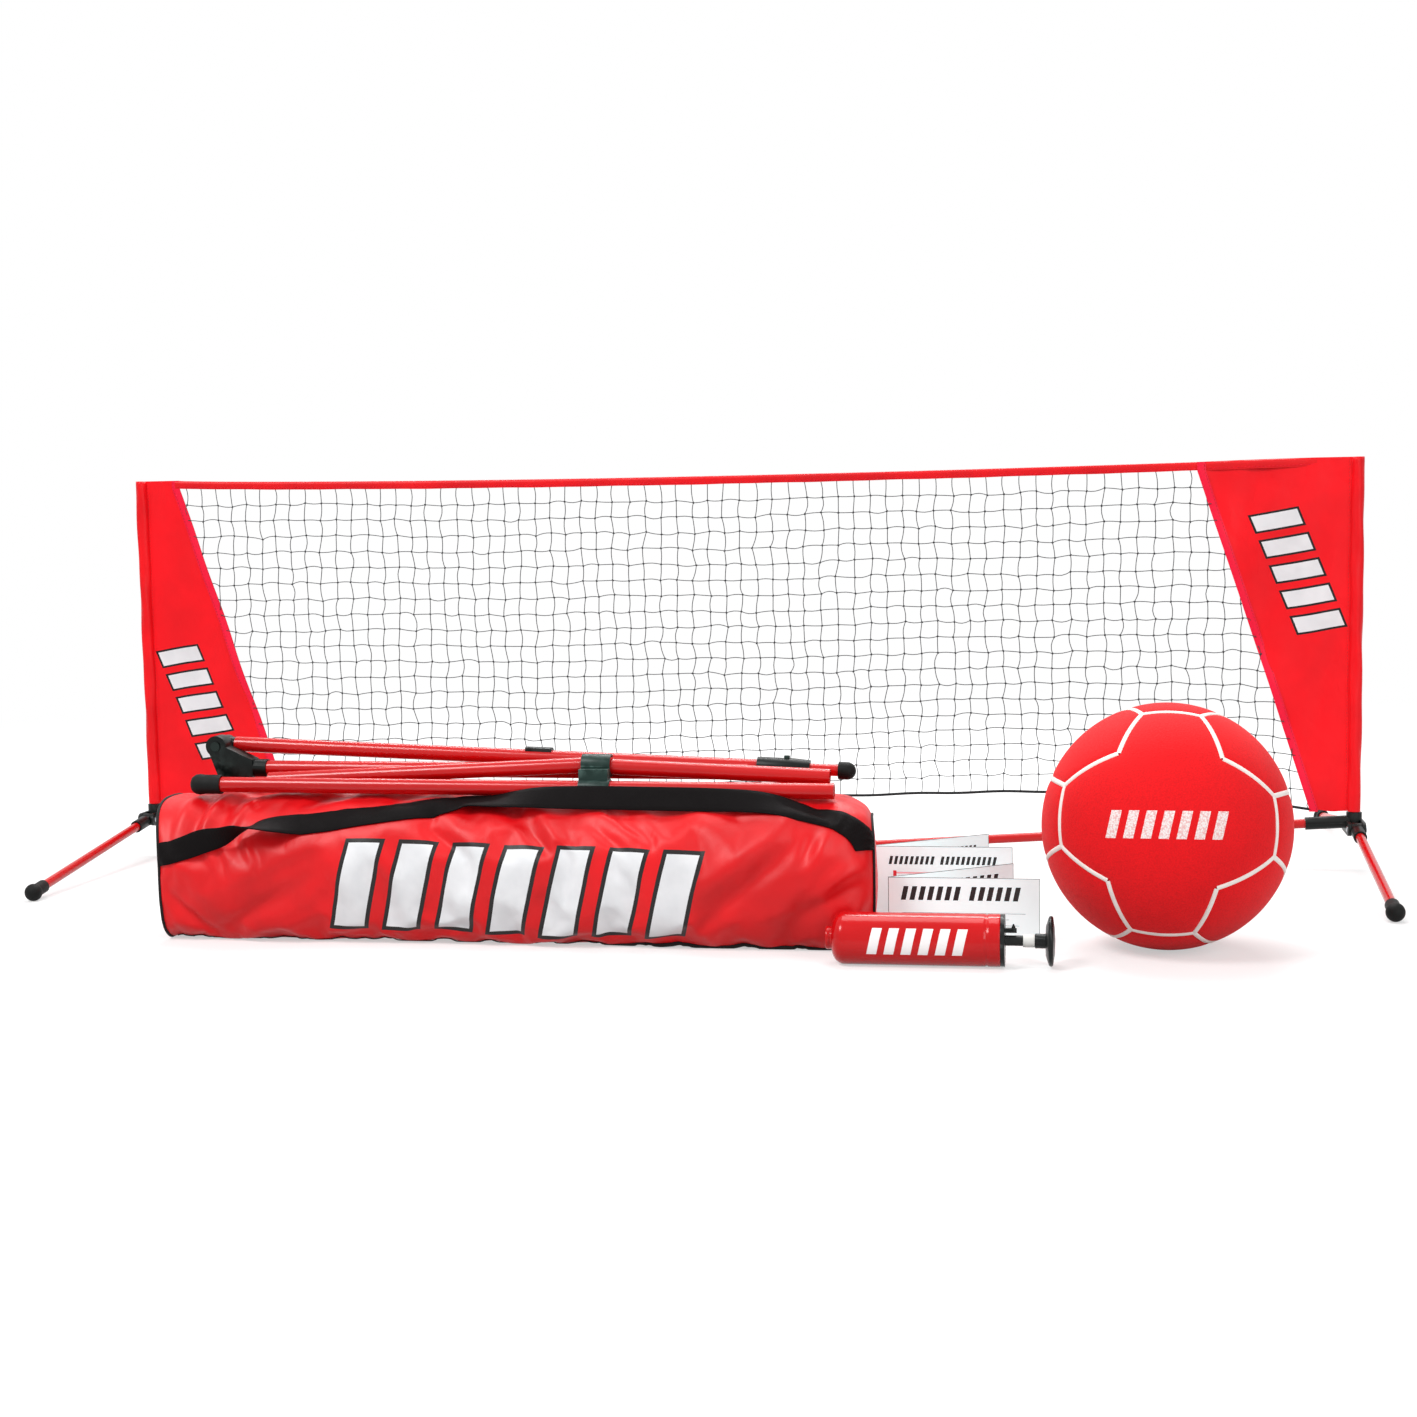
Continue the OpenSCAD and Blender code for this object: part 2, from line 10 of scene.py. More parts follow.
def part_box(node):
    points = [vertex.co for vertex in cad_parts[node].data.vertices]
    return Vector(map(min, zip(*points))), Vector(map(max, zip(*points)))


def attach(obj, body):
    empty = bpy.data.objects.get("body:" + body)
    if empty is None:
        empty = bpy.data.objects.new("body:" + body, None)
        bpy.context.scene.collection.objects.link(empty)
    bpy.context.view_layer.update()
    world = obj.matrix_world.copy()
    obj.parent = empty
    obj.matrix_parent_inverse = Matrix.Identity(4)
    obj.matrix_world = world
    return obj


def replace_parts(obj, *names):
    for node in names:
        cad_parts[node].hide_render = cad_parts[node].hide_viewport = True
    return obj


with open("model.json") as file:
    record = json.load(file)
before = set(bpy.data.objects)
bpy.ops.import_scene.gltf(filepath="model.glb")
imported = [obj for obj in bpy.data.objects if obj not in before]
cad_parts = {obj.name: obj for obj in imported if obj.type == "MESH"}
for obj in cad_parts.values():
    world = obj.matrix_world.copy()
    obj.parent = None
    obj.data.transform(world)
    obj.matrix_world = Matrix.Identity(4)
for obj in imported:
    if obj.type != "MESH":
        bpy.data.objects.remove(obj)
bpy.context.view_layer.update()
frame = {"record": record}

# ---------------------------------------------------------------- camera
# The set is seen from the player's side, well right of the middle and turned back to
# face it, 0.44 m up. The set has no free cord: its only cords are worked into the net.
yaw, pitch, roll = math.radians(-9.828), math.radians(5.51), math.radians(-1.018)
stand = Vector((0.4269, -2.4447, 0.4408))
look = Vector((math.sin(yaw) * math.cos(pitch), math.cos(yaw) * math.cos(pitch), -math.sin(pitch)))
side = Vector((math.cos(yaw), -math.sin(yaw), 0))
above = side.cross(look)
right = side * math.cos(roll) + above * math.sin(roll)
above = -side * math.sin(roll) + above * math.cos(roll)
camera = bpy.data.objects.new("camera", bpy.data.cameras.new("camera"))
bpy.context.scene.collection.objects.link(camera)
camera.data.sensor_width = 36
camera.data.lens = 53.926
camera.data.dof.use_dof = False
camera.matrix_world = Matrix((
    (right.x, above.x, -look.x, stand.x),
    (right.y, above.y, -look.y, stand.y),
    (right.z, above.z, -look.z, stand.z),
    (0, 0, 0, 1),
))
bpy.context.scene.camera = camera


# ---------------------------------------------------------------- frame tubes
# Two uprights, a ground rail in two halves and four legs of thin steel tube, cut square.
# They are powder-coated red: a thick, glossy coat with a slight orange peel, pressed into
# the connectors. The poles of the bundle and the telescopic pole are made the same way.
def linear(code):
    """Linear colour of an sRGB hex code: c / 12.92 up to 0.04045, and above it
    (c + 0.055) / 1.055 to the power 2.4."""
    c = np.array([int(code[i:i + 2], 16) for i in (0, 2, 4)]) / 255
    return (*np.where(c <= 0.04045, c / 12.92, ((c + 0.055) / 1.055) ** 2.4).tolist(), 1.0)


def add(tree, kind, inputs=(), **settings):
    """A shader node with its settings. An input is a value, a socket, or a node, whose
    first live output is taken."""
    node = tree.nodes.new("ShaderNode" + kind)
    for key, value in settings.items():
        setattr(node, key, value)
    for key, value in dict(inputs).items():
        if isinstance(value, bpy.types.Node):
            value = next(s for s in value.outputs if s.enabled)
        if isinstance(value, bpy.types.NodeSocket):
            tree.links.new(value, node.inputs[key])
        else:
            node.inputs[key].default_value = value
    return node


def bare(name):
    """A material with nothing in it yet, its tree, and the places that patterns read: on
    the piece in metres, and on its own surface."""
    m = bpy.data.materials.new(name)
    m.use_nodes = True
    m.node_tree.nodes.clear()
    where = add(m.node_tree, "TexCoord")
    return m, m.node_tree, where.outputs["Object"], where.outputs["UV"]


def powder_coat(name, base, shade):
    """Powder coat on steel: orange peel about 2 mm across and long pale scuffs."""
    m, t, spot, _ = bare(name)
    long = add(t, "Mapping", {"Vector": spot, "Scale": (0.08, 1, 1)})
    scuff = add(t, "TexNoise", {"Vector": long, "Scale": 260.0, "Detail": 4.0, "Roughness": 0.7})
    scuff = add(t, "MapRange", {"Value": scuff, "From Min": 0.64, "From Max": 0.76, "To Max": 0.4})
    cloudy = add(t, "TexNoise", {"Vector": spot, "Scale": 9.0})
    tone = add(t, "Mix", {0: cloudy, 6: linear(base), 7: linear(shade)}, data_type="RGBA")
    tone = add(t, "Mix", {0: scuff, 6: tone, 7: linear("D9483F")}, data_type="RGBA")
    peel = add(t, "TexNoise", {"Vector": spot, "Scale": 480.0, "Detail": 2.0})
    coat = add(t, "BsdfPrincipled", {
        "Base Color": tone, "Roughness": add(t, "MapRange", {"Value": scuff, "To Min": 0.26, "To Max": 0.55}),
        "Specular IOR Level": 0.20, "Coat Weight": 0.34, "Coat Roughness": 0.15,
        "Normal": add(t, "Bump", {"Height": peel, "Distance": 0.00012, "Strength": 0.12}),
    })
    add(t, "OutputMaterial", {"Surface": coat})
    return m


def dress(material, *nodes):
    """Gives pieces whose CAD shape is right their material."""
    for node in nodes:
        materials = bpy.data.objects[node].data.materials
        materials.clear()
        materials.append(material)


CORNERS = ("front_left", "rear_left", "front_right", "rear_right")
red_coat = powder_coat("powder_coated_steel_red", "CE0A0D", "B20709")
dress(red_coat, "left_upright", "right_upright", "left_rail", "right_rail", *[c + "_leg_tube" for c in CORNERS])


# ---------------------------------------------------------------- connectors and feet
# The corner connectors, the coupler under the middle, the leg lugs and the upright caps
# are moulded in black glass-filled nylon, and the feet in rubber. Spark-eroded moulds
# leave a fine matt grain, and every outside edge has a small moulded radius.
def moulding(name, base, edge_wear_and_highlight, rough, grain):
    """A moulded plastic or rubber: grain of 0.3 mm drawn at 0.8 mm, and its sharp edges
    painted paler in patches: partly rubbed wear, partly a painted edge highlight.
    """
    m, t, spot, _ = bare(name)
    cloudy = add(t, "TexNoise", {"Vector": spot, "Scale": 25.0, "Detail": 3.0})
    # painted edge highlight and wear: patches along the sharp edges are painted paler
    edge = add(t, "NewGeometry").outputs["Pointiness"]
    edge = add(t, "MapRange", {"Value": edge, "From Min": 0.52, "From Max": 0.60})
    spots = add(t, "TexNoise", {"Vector": spot, "Scale": 130.0, "Detail": 4.0})
    worn = add(t, "Math", {0: edge, 1: add(t, "MapRange", {"Value": spots, "From Min": 0.4, "From Max": 0.75})},
               operation="MULTIPLY")
    dark = add(t, "HueSaturation", {"Color": linear(base), "Value": 0.72})
    tone = add(t, "Mix", {0: cloudy, 6: linear(base), 7: dark}, data_type="RGBA")
    tone = add(t, "Mix", {0: worn, 6: tone, 7: linear(edge_wear_and_highlight)}, data_type="RGBA")
    fine = add(t, "TexNoise", {"Vector": spot, "Scale": 1250.0, "Detail": 2.0})
    skin = add(t, "BsdfPrincipled", {
        "Base Color": tone,
        "Roughness": add(t, "MapRange", {"Value": spots, "To Min": rough - 0.08, "To Max": rough + 0.10}),
        "Specular IOR Level": 0.20, "Normal": add(t, "Bump", {"Height": fine, "Distance": grain, "Strength": 0.5}),
    })
    add(t, "OutputMaterial", {"Surface": skin})
    return m


def moulded(node, radius, material):
    """A copy of a CAD piece in its material with its sharp edges rounded to the radius."""
    mesh = bpy.data.objects[node].data.copy()
    obj = bpy.data.objects.new(node + "_moulded", mesh)
    bpy.context.scene.collection.objects.link(obj)
    work = bmesh.new()
    work.from_mesh(mesh)
    bmesh.ops.remove_doubles(work, verts=work.verts, dist=2e-6)
    bmesh.ops.dissolve_limit(work, angle_limit=math.radians(1), verts=work.verts, edges=work.edges)
    work.to_mesh(mesh)
    work.free()
    mesh.materials.clear()
    mesh.materials.append(material)
    mesh.polygons.foreach_set("use_smooth", [True] * len(mesh.polygons))
    edge = obj.modifiers.new("edge", "BEVEL")
    edge.width, edge.segments, edge.limit_method, edge.angle_limit = radius, 3, "ANGLE", math.radians(32)
    edge.use_clamp_overlap, edge.harden_normals = True, True
    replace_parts(obj, node)
    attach(obj, next(b for b, nodes in frame["record"]["behaviour"]["bodies"].items() if node in nodes))


black_nylon = moulding("glass_filled_nylon_black", "0C1110", "4A5452", 0.40, 0.00012)
black_rubber = moulding("moulded_rubber_black", "060706", "2A2E2D", 0.62, 0.00020)
for node in ("left_corner_connector", "right_corner_connector", "rail_coupler"):
    moulded(node, 0.0012, black_nylon)
for corner in CORNERS:
    moulded(corner + "_leg_lug", 0.0010, black_nylon)
    moulded(corner + "_leg_foot", 0.0008, black_rubber)
moulded("upright_caps", 0.0006, black_nylon)


# ---------------------------------------------------------------- hinge pins
# Each leg swings on a drawn steel pin, zinc plated and peened over at both ends. Zinc
# gives it a cool, slightly cloudy shine with fine drawing lines along it.
def zinc_plate(name, tone, along):
    """Plated steel: clouding 6 mm across and drawing lines along the given stretch."""
    m, t, spot, _ = bare(name)
    cloud = add(t, "TexNoise", {"Vector": spot, "Scale": 160.0, "Detail": 3.0})
    lines = add(t, "TexNoise", {"Vector": add(t, "Mapping", {"Vector": spot, "Scale": along}), "Scale": 1400.0})
    metal = add(t, "BsdfPrincipled", {
        "Base Color": linear(tone), "Metallic": 1.0,
        "Roughness": add(t, "MapRange", {"Value": cloud, "To Min": 0.22, "To Max": 0.42}),
        "Normal": add(t, "Bump", {"Height": lines, "Distance": 0.00006, "Strength": 0.4}),
    })
    add(t, "OutputMaterial", {"Surface": metal})
    return m


plated_steel = zinc_plate("zinc_plated_steel", "B4B8BC", (0.1, 1, 1))
dress(plated_steel, "leg_hinge_pins")


# ---------------------------------------------------------------- end panels and sleeves
# Each end of the net is a panel of red polyester, wide at one end of its slanting inner
# edge and slim at the other. It is sewn into a sleeve of the same cloth that pulls down
# over the upright, and its inner edge is bound in a paler tape, lock-stitched 7 mm in.
NET_Y = (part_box("top_tape")[0][1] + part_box("top_tape")[1][1]) / 2
UPRIGHT_X = (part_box("right_upright")[0][0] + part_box("right_upright")[1][0]) / 2
SLIM_X, WIDE_X, END_X = 0.702, 0.571, 0.7444  # a panel's inner edge, slim and wide, and its outer edge
LOW_Z, HIGH_Z, TAPE_Z, HEM_Z = 0.066, 0.482, 0.472, 0.070  # a panel's foot and top; the netting's top and foot
STEP, LEAN, HALF_BAR = 0.62, 0.22, 0.18  # of a printed bar, in bar heights


def slanted_bars(t, place, size, count, grow=0.0):
    """Mask of a row of leaning bars from the origin of the place, size high, one every
    STEP size, grown all round by grow. It is the print of the set: 1 where
    |u - LEAN v| within its step and |v| are both inside a bar."""
    part = add(t, "SeparateXYZ", {0: place})
    lean = add(t, "Math", {0: part.outputs[1], 1: -LEAN, 2: part.outputs[0]}, operation="MULTIPLY_ADD")
    step = add(t, "Math", {0: lean, 1: STEP * size}, operation="FLOORED_MODULO")
    bar = add(t, "Math", {0: step, 1: STEP / 2 * size, 2: HALF_BAR * size + grow}, operation="COMPARE")
    long = STEP / 2 * size * count
    row = add(t, "Math", {0: lean, 1: long, 2: long}, operation="COMPARE")
    tall = add(t, "Math", {0: part.outputs[1], 1: 0.0, 2: 0.5 * size + grow}, operation="COMPARE")
    bar = add(t, "Math", {0: bar, 1: row}, operation="MULTIPLY")
    return add(t, "Math", {0: bar, 1: tall}, operation="MULTIPLY")


def polyester(name, base, shade, crumple, printed=None, shine=0.25):
    """Plain-woven polyester, pressed shiny on its face: weave of 0.5 mm drawn at 0.9 mm,
    a crumple of 30 and 110 mm, and a pale bloom where the cloth turns away. The print is
    (u, v, turn, size, count): white ink with a black outline."""
    m, t, spot, flat = bare(name)
    patch = add(t, "TexNoise", {"Vector": spot, "Scale": 13.0, "Detail": 3.0})
    patch = add(t, "MapRange", {"Value": patch, "From Min": 0.38, "From Max": 0.68})
    tone = add(t, "Mix", {0: patch, 6: linear(base), 7: linear(shade)}, data_type="RGBA")
    if printed:
        u, v, turn, size, count = printed
        place = add(t, "Mapping", {"Vector": flat, "Location": (-u, -v, 0)})
        place = add(t, "VectorRotate", {"Vector": place, "Angle": turn}, rotation_type="Z_AXIS")
        blotch = add(t, "TexNoise", {"Vector": spot, "Scale": 40.0})
        ink = add(t, "Mix", {0: blotch, 6: linear("F2F2F4"), 7: linear("D2D4D7")}, data_type="RGBA")
        outline = slanted_bars(t, place, size, count, 0.05 * size)
        tone = add(t, "Mix", {0: outline, 6: tone, 7: linear("0A0606")}, data_type="RGBA")
        tone = add(t, "Mix", {0: slanted_bars(t, place, size, count), 6: tone, 7: ink}, data_type="RGBA")
    broad = add(t, "Mapping", {"Vector": spot, "Scale": (1, 1, 0.6)})
    slack = add(t, "TexNoise", {"Vector": broad, "Scale": 9.0, "Distortion": 0.7})
    creases = add(t, "TexNoise", {"Vector": broad, "Scale": 34.0, "Detail": 3.0, "Distortion": 1.2})
    warp = add(t, "TexWave", {"Vector": spot, "Scale": 350.0}, bands_direction="X")
    weft = add(t, "TexWave", {"Vector": spot, "Scale": 350.0}, bands_direction="Z")
    weave = add(t, "Math", {0: warp, 1: weft}, operation="MAXIMUM")
    lie = add(t, "Bump", {"Height": slack, "Distance": 0.010, "Strength": crumple})
    lie = add(t, "Bump", {"Height": creases, "Distance": 0.0022, "Strength": crumple, "Normal": lie})
    lie = add(t, "Bump", {"Height": weave, "Distance": 0.0001, "Strength": 0.3, "Normal": lie})
    cloth = add(t, "BsdfPrincipled", {
        "Base Color": tone,
        "Roughness": add(t, "MapRange", {"Value": creases, "To Min": 0.36, "To Max": 0.52}),
        "Specular IOR Level": shine, "Sheen Weight": 0.24, "Sheen Roughness": 0.35,
        "Sheen Tint": linear("FF98A4"), "Normal": lie,
    })
    add(t, "OutputMaterial", {"Surface": cloth})
    return m


def grid(rows, cols, round_rows=False, round_cols=False):
    """Faces of a rows by cols grid of points, closed round either way: the point in row r
    and column c is number r cols + c, and each face joins four neighbours."""
    r, c = np.meshgrid(np.arange(rows - (not round_rows)), np.arange(cols - (not round_cols)), indexing="ij")
    r, c = r.ravel(), c.ravel()
    r2, c2 = (r + 1) % rows, (c + 1) % cols
    return np.stack([r * cols + c, r * cols + c2, r2 * cols + c2, r2 * cols + c], 1)


def joined(parts):
    """Several (points, [faces, ...]) parts as one: each part's faces are counted on from
    the points before it."""
    first = np.cumsum([0] + [len(p) for p, _ in parts])
    return np.concatenate([p for p, _ in parts]), [f + n for (_, each), n in zip(parts, first) for f in each]


def piece(name, points, faces, material, slot, body, flat=None):
    """A piece from its (n, 3) points and its lists of faces. flat gives each point's
    place on its own surface in metres, so that a pattern keeps its size where it bends."""
    mesh = bpy.data.meshes.new(name)
    mesh.from_pydata(np.asarray(points).tolist(), [], [f for each in faces for f in each.tolist()])
    mesh.polygons.foreach_set("use_smooth", [True] * len(mesh.polygons))
    if flat is not None:
        corner = np.zeros(len(mesh.loops), int)
        mesh.loops.foreach_get("vertex_index", corner)
        mesh.uv_layers.new(name="flat").data.foreach_set("uv", np.asarray(flat)[corner].ravel())
    mesh.materials.append(material)
    mesh.update()
    obj = bpy.data.objects.new(name, mesh)
    bpy.context.scene.collection.objects.link(obj)
    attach(obj, body)
    return obj


def unit(v):
    """Vectors brought to a length of 1: v / |v| along the last axis."""
    return v / np.linalg.norm(v, axis=-1, keepdims=True)


def stitches(line, pitch, length, radius):
    """Short threads along a line, one every pitch: each a five-sided spindle, fullest in
    its middle third, on the straight chord from d to d + length."""
    run = np.concatenate([[0], np.cumsum(np.linalg.norm(np.diff(line, axis=0), axis=1))])
    d = np.arange(pitch / 2, run[-1] - length, pitch)[:, None] + length * np.array([0, 0.3, 0.7, 1])
    spine = np.stack([np.interp(d, run, line[:, k]) for k in range(3)], -1)
    along = unit(spine[:, -1:] - spine[:, :1])
    out = unit(np.cross(along, [0.13, 1.0, 0.07]))
    up = np.cross(along, out)
    a = np.linspace(0, 2 * np.pi, 5, endpoint=False)[:, None]
    fat = radius * np.array([0.4, 1, 1, 0.4])[:, None, None]
    points = spine[:, :, None] + fat * (np.cos(a) * out[:, :, None] + np.sin(a) * up[:, :, None])
    first = np.arange(len(d))[:, None, None] * 20
    caps = np.array([[4, 3, 2, 1, 0], [15, 16, 17, 18, 19]])
    return points.reshape(-1, 3), [(grid(4, 5, False, True) + first).reshape(-1, 4), (caps + first).reshape(-1, 5)]


def inner_edge(hand, z):
    """Half width of the netting at a height: a straight line between slim and wide."""
    h = (TAPE_Z - z) / (TAPE_Z - HEM_Z)
    return hand * (SLIM_X - (SLIM_X - WIDE_X) * (h if hand < 0 else 1 - h))


def hang(x, z):
    """How far a point of the net moves down with the dip of its tape, 7.5 mm deep, or up
    with the arch of its foot cord, 19 mm high near the right end."""
    u = np.clip((x + SLIM_X) / (2 * SLIM_X), 0, 1)
    w = np.clip((x + WIDE_X) / (SLIM_X + WIDE_X), 0, 1)
    high = np.clip((z - HEM_Z) / (TAPE_Z - HEM_Z), 0, 1)
    dip = -0.0075 * np.sin(np.pi * u**0.85) ** 0.8 * high
    return dip + 0.019 * np.sin(np.pi * w**2.6) * (1 - high) ** 1.4


def panel_folds(x, z, hand):
    """Shallow folds that fan out of the upright: two sine waves whose phase grows with
    the distance from it and with the height."""
    s = np.clip((END_X - np.abs(x)) / 0.19, 0, 1)
    h = (z - LOW_Z) / (HIGH_Z - LOW_Z)
    fan = np.sin(26 * s + 9 * h * (1 + hand * 0.3) + hand)
    slow = np.sin(14 * (h + 0.6 * s * hand) + 2.1 * hand) * np.sin(np.pi * s)
    return (0.0016 * fan * s + 0.0024 * slow) * (1 - 0.4 * h) * np.minimum(1, s * 6)


binding_tape = polyester("polyester_binding_pink_red", "F5143C", "EE1038", 0.2)
thread_red = polyester("polyester_thread_red", "C8141C", "B01018", 0.1)
sleeve_cloth = polyester("polyester_sleeve_red", "F40A18", "DE0814", 0.4)
LOCK_STITCH = (0.0042, 0.0028, 0.00028)  # pitch, length and radius
TUCK = 0.004  # how far a panel reaches into its sleeve
RINGS, ROUND = 120, 40  # points up and round a sleeve
UP, OVER = 150, 60  # points up and across a panel
for hand, name, spot_on in ((-1, "left", (-0.655, 0.123, math.radians(-112), 0.052, 5)),
                            (1, "right", (0.655, 0.425, math.radians(68), 0.052, 5))):
    cloth = polyester("polyester_" + name + "_panel_red", "F80A1A", "E80816", 0.34, spot_on)
    t, s = np.meshgrid(np.linspace(0, 1, UP), np.linspace(0, 1, OVER), indexing="ij")
    z = LOW_Z + t * (HIGH_Z - LOW_Z)
    outer = hand * (END_X + TUCK)
    x = outer + s * (inner_edge(hand, np.clip(z, HEM_Z, TAPE_Z)) - outer)
    lie = np.stack([x, NET_Y + panel_folds(x, z, hand),
                    z + hang(x, z) * s + 0.0015 * np.sin(9 * s + hand) * (1 - t) * s], -1)
    panel = piece(name + "_end_panel_cloth", lie.reshape(-1, 3), [grid(UP, OVER)[:, ::-hand]], cloth,
                  "red_cloth", "frame", flat=np.stack([x, z], -1).reshape(-1, 2))
    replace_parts(panel, name + "_end_panel")

    # binding: a shallow arch of tape on each face of the panel's inner edge
    k = np.linspace(-0.0015, 0.0085, 6)
    arch = 0.0011 - 0.00006 * (np.arange(6) - 2.5) ** 2
    strips = [((lie[:, -1:] + np.stack([hand * k, face * arch, 0 * k], -1)).reshape(-1, 3),
               [grid(UP, len(k))[:, ::-hand * face]]) for face in (-1, 1)]
    hem = piece(name + "_panel_binding", *joined(strips), binding_tape, "red_cloth", "frame")
    seam = piece(name + "_panel_stitches", *stitches(lie[:, -1] + (hand * 0.0070, -0.0012, 0), *LOCK_STITCH),
                 thread_red, "red_cloth", "frame")

    # sleeve: a tube of radius 7.4 mm with slack rings, closed over the top of the upright
    a = np.linspace(0, 2 * np.pi, ROUND, endpoint=False)[None]
    z = np.linspace(LOW_Z, HIGH_Z, RINGS)[:, None]
    r = 0.0074 + 0.0004 * np.sin(3 * a + 40 * z + hand) + 0.0003 * np.sin(90 * z + 2 * a)
    r = r * np.where(z > HIGH_Z - 0.001, 0.96, 1.0)
    tube_points = np.stack(np.broadcast_arrays(hand * UPRIGHT_X + r * np.cos(a), NET_Y + r * np.sin(a), z), -1)
    k = np.arange(ROUND)
    lid = np.stack([k, (k + 1) % ROUND, 0 * k + ROUND], 1) + (RINGS - 1) * ROUND
    sleeve = piece(name + "_pole_sleeve_cloth",
                   np.concatenate([tube_points.reshape(-1, 3), [[hand * UPRIGHT_X, NET_Y, HIGH_Z]]]),
                   [grid(RINGS, ROUND, False, True), lid], sleeve_cloth, "red_cloth", "frame")
    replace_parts(sleeve, "pole_sleeves")
    z = z.ravel()
    line = np.stack([0 * z + hand * (UPRIGHT_X - 0.0097), 0 * z + NET_Y - 0.0028, z], 1)
    sewn = piece(name + "_sleeve_stitches", *stitches(line, *LOCK_STITCH), thread_red, "red_cloth", "frame")


# ---------------------------------------------------------------- netting
# Knotted netting of black braided polyethylene, 20 mm from knot to knot, cut to the
# panels' slant and drawn to the tape, the foot cord and both bindings. The twine is
# 1.1 mm thick, and each knot is a small lump that sits slightly askew.
def braid(name, base, pale):
    """Dull braided twine: a short lay of 1.1 mm along each strand."""
    m, t, spot, _ = bare(name)
    lay = add(t, "TexNoise", {"Vector": spot, "Scale": 900.0, "Detail": 1.0})
    tone = add(t, "Mix", {0: lay, 6: linear(base), 7: linear(pale)}, data_type="RGBA")
    twine = add(t, "BsdfPrincipled", {
        "Base Color": tone, "Roughness": 0.72, "Specular IOR Level": 0.20, "Sheen Weight": 0.08,
        "Normal": add(t, "Bump", {"Height": lay, "Distance": 0.0003, "Strength": 0.7}),
    })
    add(t, "OutputMaterial", {"Surface": twine})
    return m


def cord(spine, radius, sides, beside):
    """A round cord: each point of the spine plus radius (n cos a + b sin a), where n is
    square to the spine and to the direction beside, with a flat cap at both ends."""
    along = np.gradient(spine, axis=0)
    n = unit(np.cross(along, beside))
    b = unit(np.cross(along, n))
    a = np.linspace(0, 2 * np.pi, sides, endpoint=False)[:, None]
    ring = np.broadcast_to(radius, len(spine))[:, None, None] * (np.cos(a) * n[:, None] + np.sin(a) * b[:, None])
    last = (len(spine) - 1) * sides
    return (spine[:, None] + ring).reshape(-1, 3), [
        grid(len(spine), sides, False, True), np.arange(sides)[None, ::-1], last + np.arange(sides)[None]]


def strand(stops, bow):
    """A strand through its knots: straight between them, plus a bow in the given
    direction times sin(pi s), a little different in every mesh."""
    s = np.linspace(0, 1, 4, endpoint=False)[:, None]
    a, b = stops[:-1, None], stops[1:, None]
    each = (len(stops) - 1, 1, 1)
    size = rng.normal(0, 1, each) * np.array(bow) + rng.normal(0, 0.0005, each) * (0, 1, 0)
    way = (a + (b - a) * s + size * np.sin(np.pi * s)).reshape(-1, 3)
    return np.concatenate([way, stops[-1:]]) + (0, NET_Y, 0)


rng = np.random.default_rng(4)
TWINE = (0.00052, 5, (0, 1, 0))  # radius, sides and the direction beside it
MESH_X, MESH_Z = (SLIM_X + WIDE_X) / 64, (TAPE_Z - HEM_Z) / 20
col_x = np.arange(-SLIM_X + 0.5 * MESH_X, SLIM_X - 0.001, MESH_X)
row_z = HEM_Z + np.arange(1, 20) * MESH_Z
X, Z = np.meshgrid(col_x, row_z)
every_other = (-1.0) ** np.arange(len(row_z))[:, None], (-1.0) ** np.arange(len(col_x))
knot = np.stack([
    X + rng.normal(0, 0.0009, X.shape) + 0.0013 * np.sin(31 * X + 23 * Z) + 0.0009 * every_other[0],
    rng.normal(0, 0.0004, X.shape),
    Z + rng.normal(0, 0.0008, X.shape) + 0.0011 * np.sin(19 * X + 11 * Z) + 0.0005 * every_other[1],
], -1)
knot[..., 2] += hang(knot[..., 0], knot[..., 2])
inside = (X > inner_edge(-1, Z) + 0.002) & (X < inner_edge(1, Z) - 0.002)
black_twine = braid("polyethylene_twine_black", "202224", "54575A")
rows, columns = [], []
for i, z in enumerate(row_z):
    tied = np.array([(x, 0, z + hang(x, z)) for x in (inner_edge(-1, z) - 0.002, inner_edge(1, z) + 0.002)])
    stops = np.concatenate([tied[:1], knot[i][inside[i]], tied[1:]])
    rows.append(cord(strand(stops, (0, 0, 0.0009)), *TWINE))
for j, x in enumerate(col_x):
    low = HEM_Z + max(0, (-WIDE_X - x) / (SLIM_X - WIDE_X)) * (TAPE_Z - HEM_Z)
    high = TAPE_Z - max(0, (x - WIDE_X) / (SLIM_X - WIDE_X)) * (TAPE_Z - HEM_Z)
    if high - low > 0.004:
        tied = np.array([(x, 0, z + hang(x, z)) for z in (low - 0.002, high + 0.002)])
        stops = np.concatenate([tied[:1], knot[inside[:, j], j], tied[1:]])
        columns.append(cord(strand(stops, (0.0009, 0, 0)), *TWINE))
for node, strands in (("netting_rows", rows), ("netting_columns", columns)):
    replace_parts(piece(node + "_twine", *joined(strands), black_twine, "netting_twine", "frame"), node)

# knots: a six-sided bead, 2.6 mm wide and 3.4 mm long, turned at random in the net's plane
six = np.linspace(0, 2 * np.pi, 6, endpoint=False)
belts = [np.stack([np.cos(six) * 0.85, np.sin(six) * 0.85, 0 * six + h], 1) for h in (-0.5, 0.5)]
bead = np.concatenate([[(0, 0, -1)], *belts, [(0, 0, 1)]]) * (0.0013, 0.0012, 0.0017)
turn = rng.uniform(0, np.pi, inside.sum())[:, None]
beads = np.stack([bead[:, 0] * np.cos(turn) + bead[:, 2] * np.sin(turn), bead[:, 1] + 0 * turn,
                  bead[:, 2] * np.cos(turn) - bead[:, 0] * np.sin(turn)], -1)
beads = beads + knot[inside][:, None] + (0, NET_Y, 0)
k = np.arange(6)
first = np.arange(len(beads))[:, None, None] * len(bead)
after = (k + 1) % 6
tips = np.concatenate([np.stack([0 * k, 1 + after, 1 + k], 1), np.stack([0 * k + 13, 7 + k, 7 + after], 1)])
belt = np.stack([1 + k, 1 + after, 7 + after, 7 + k], 1)
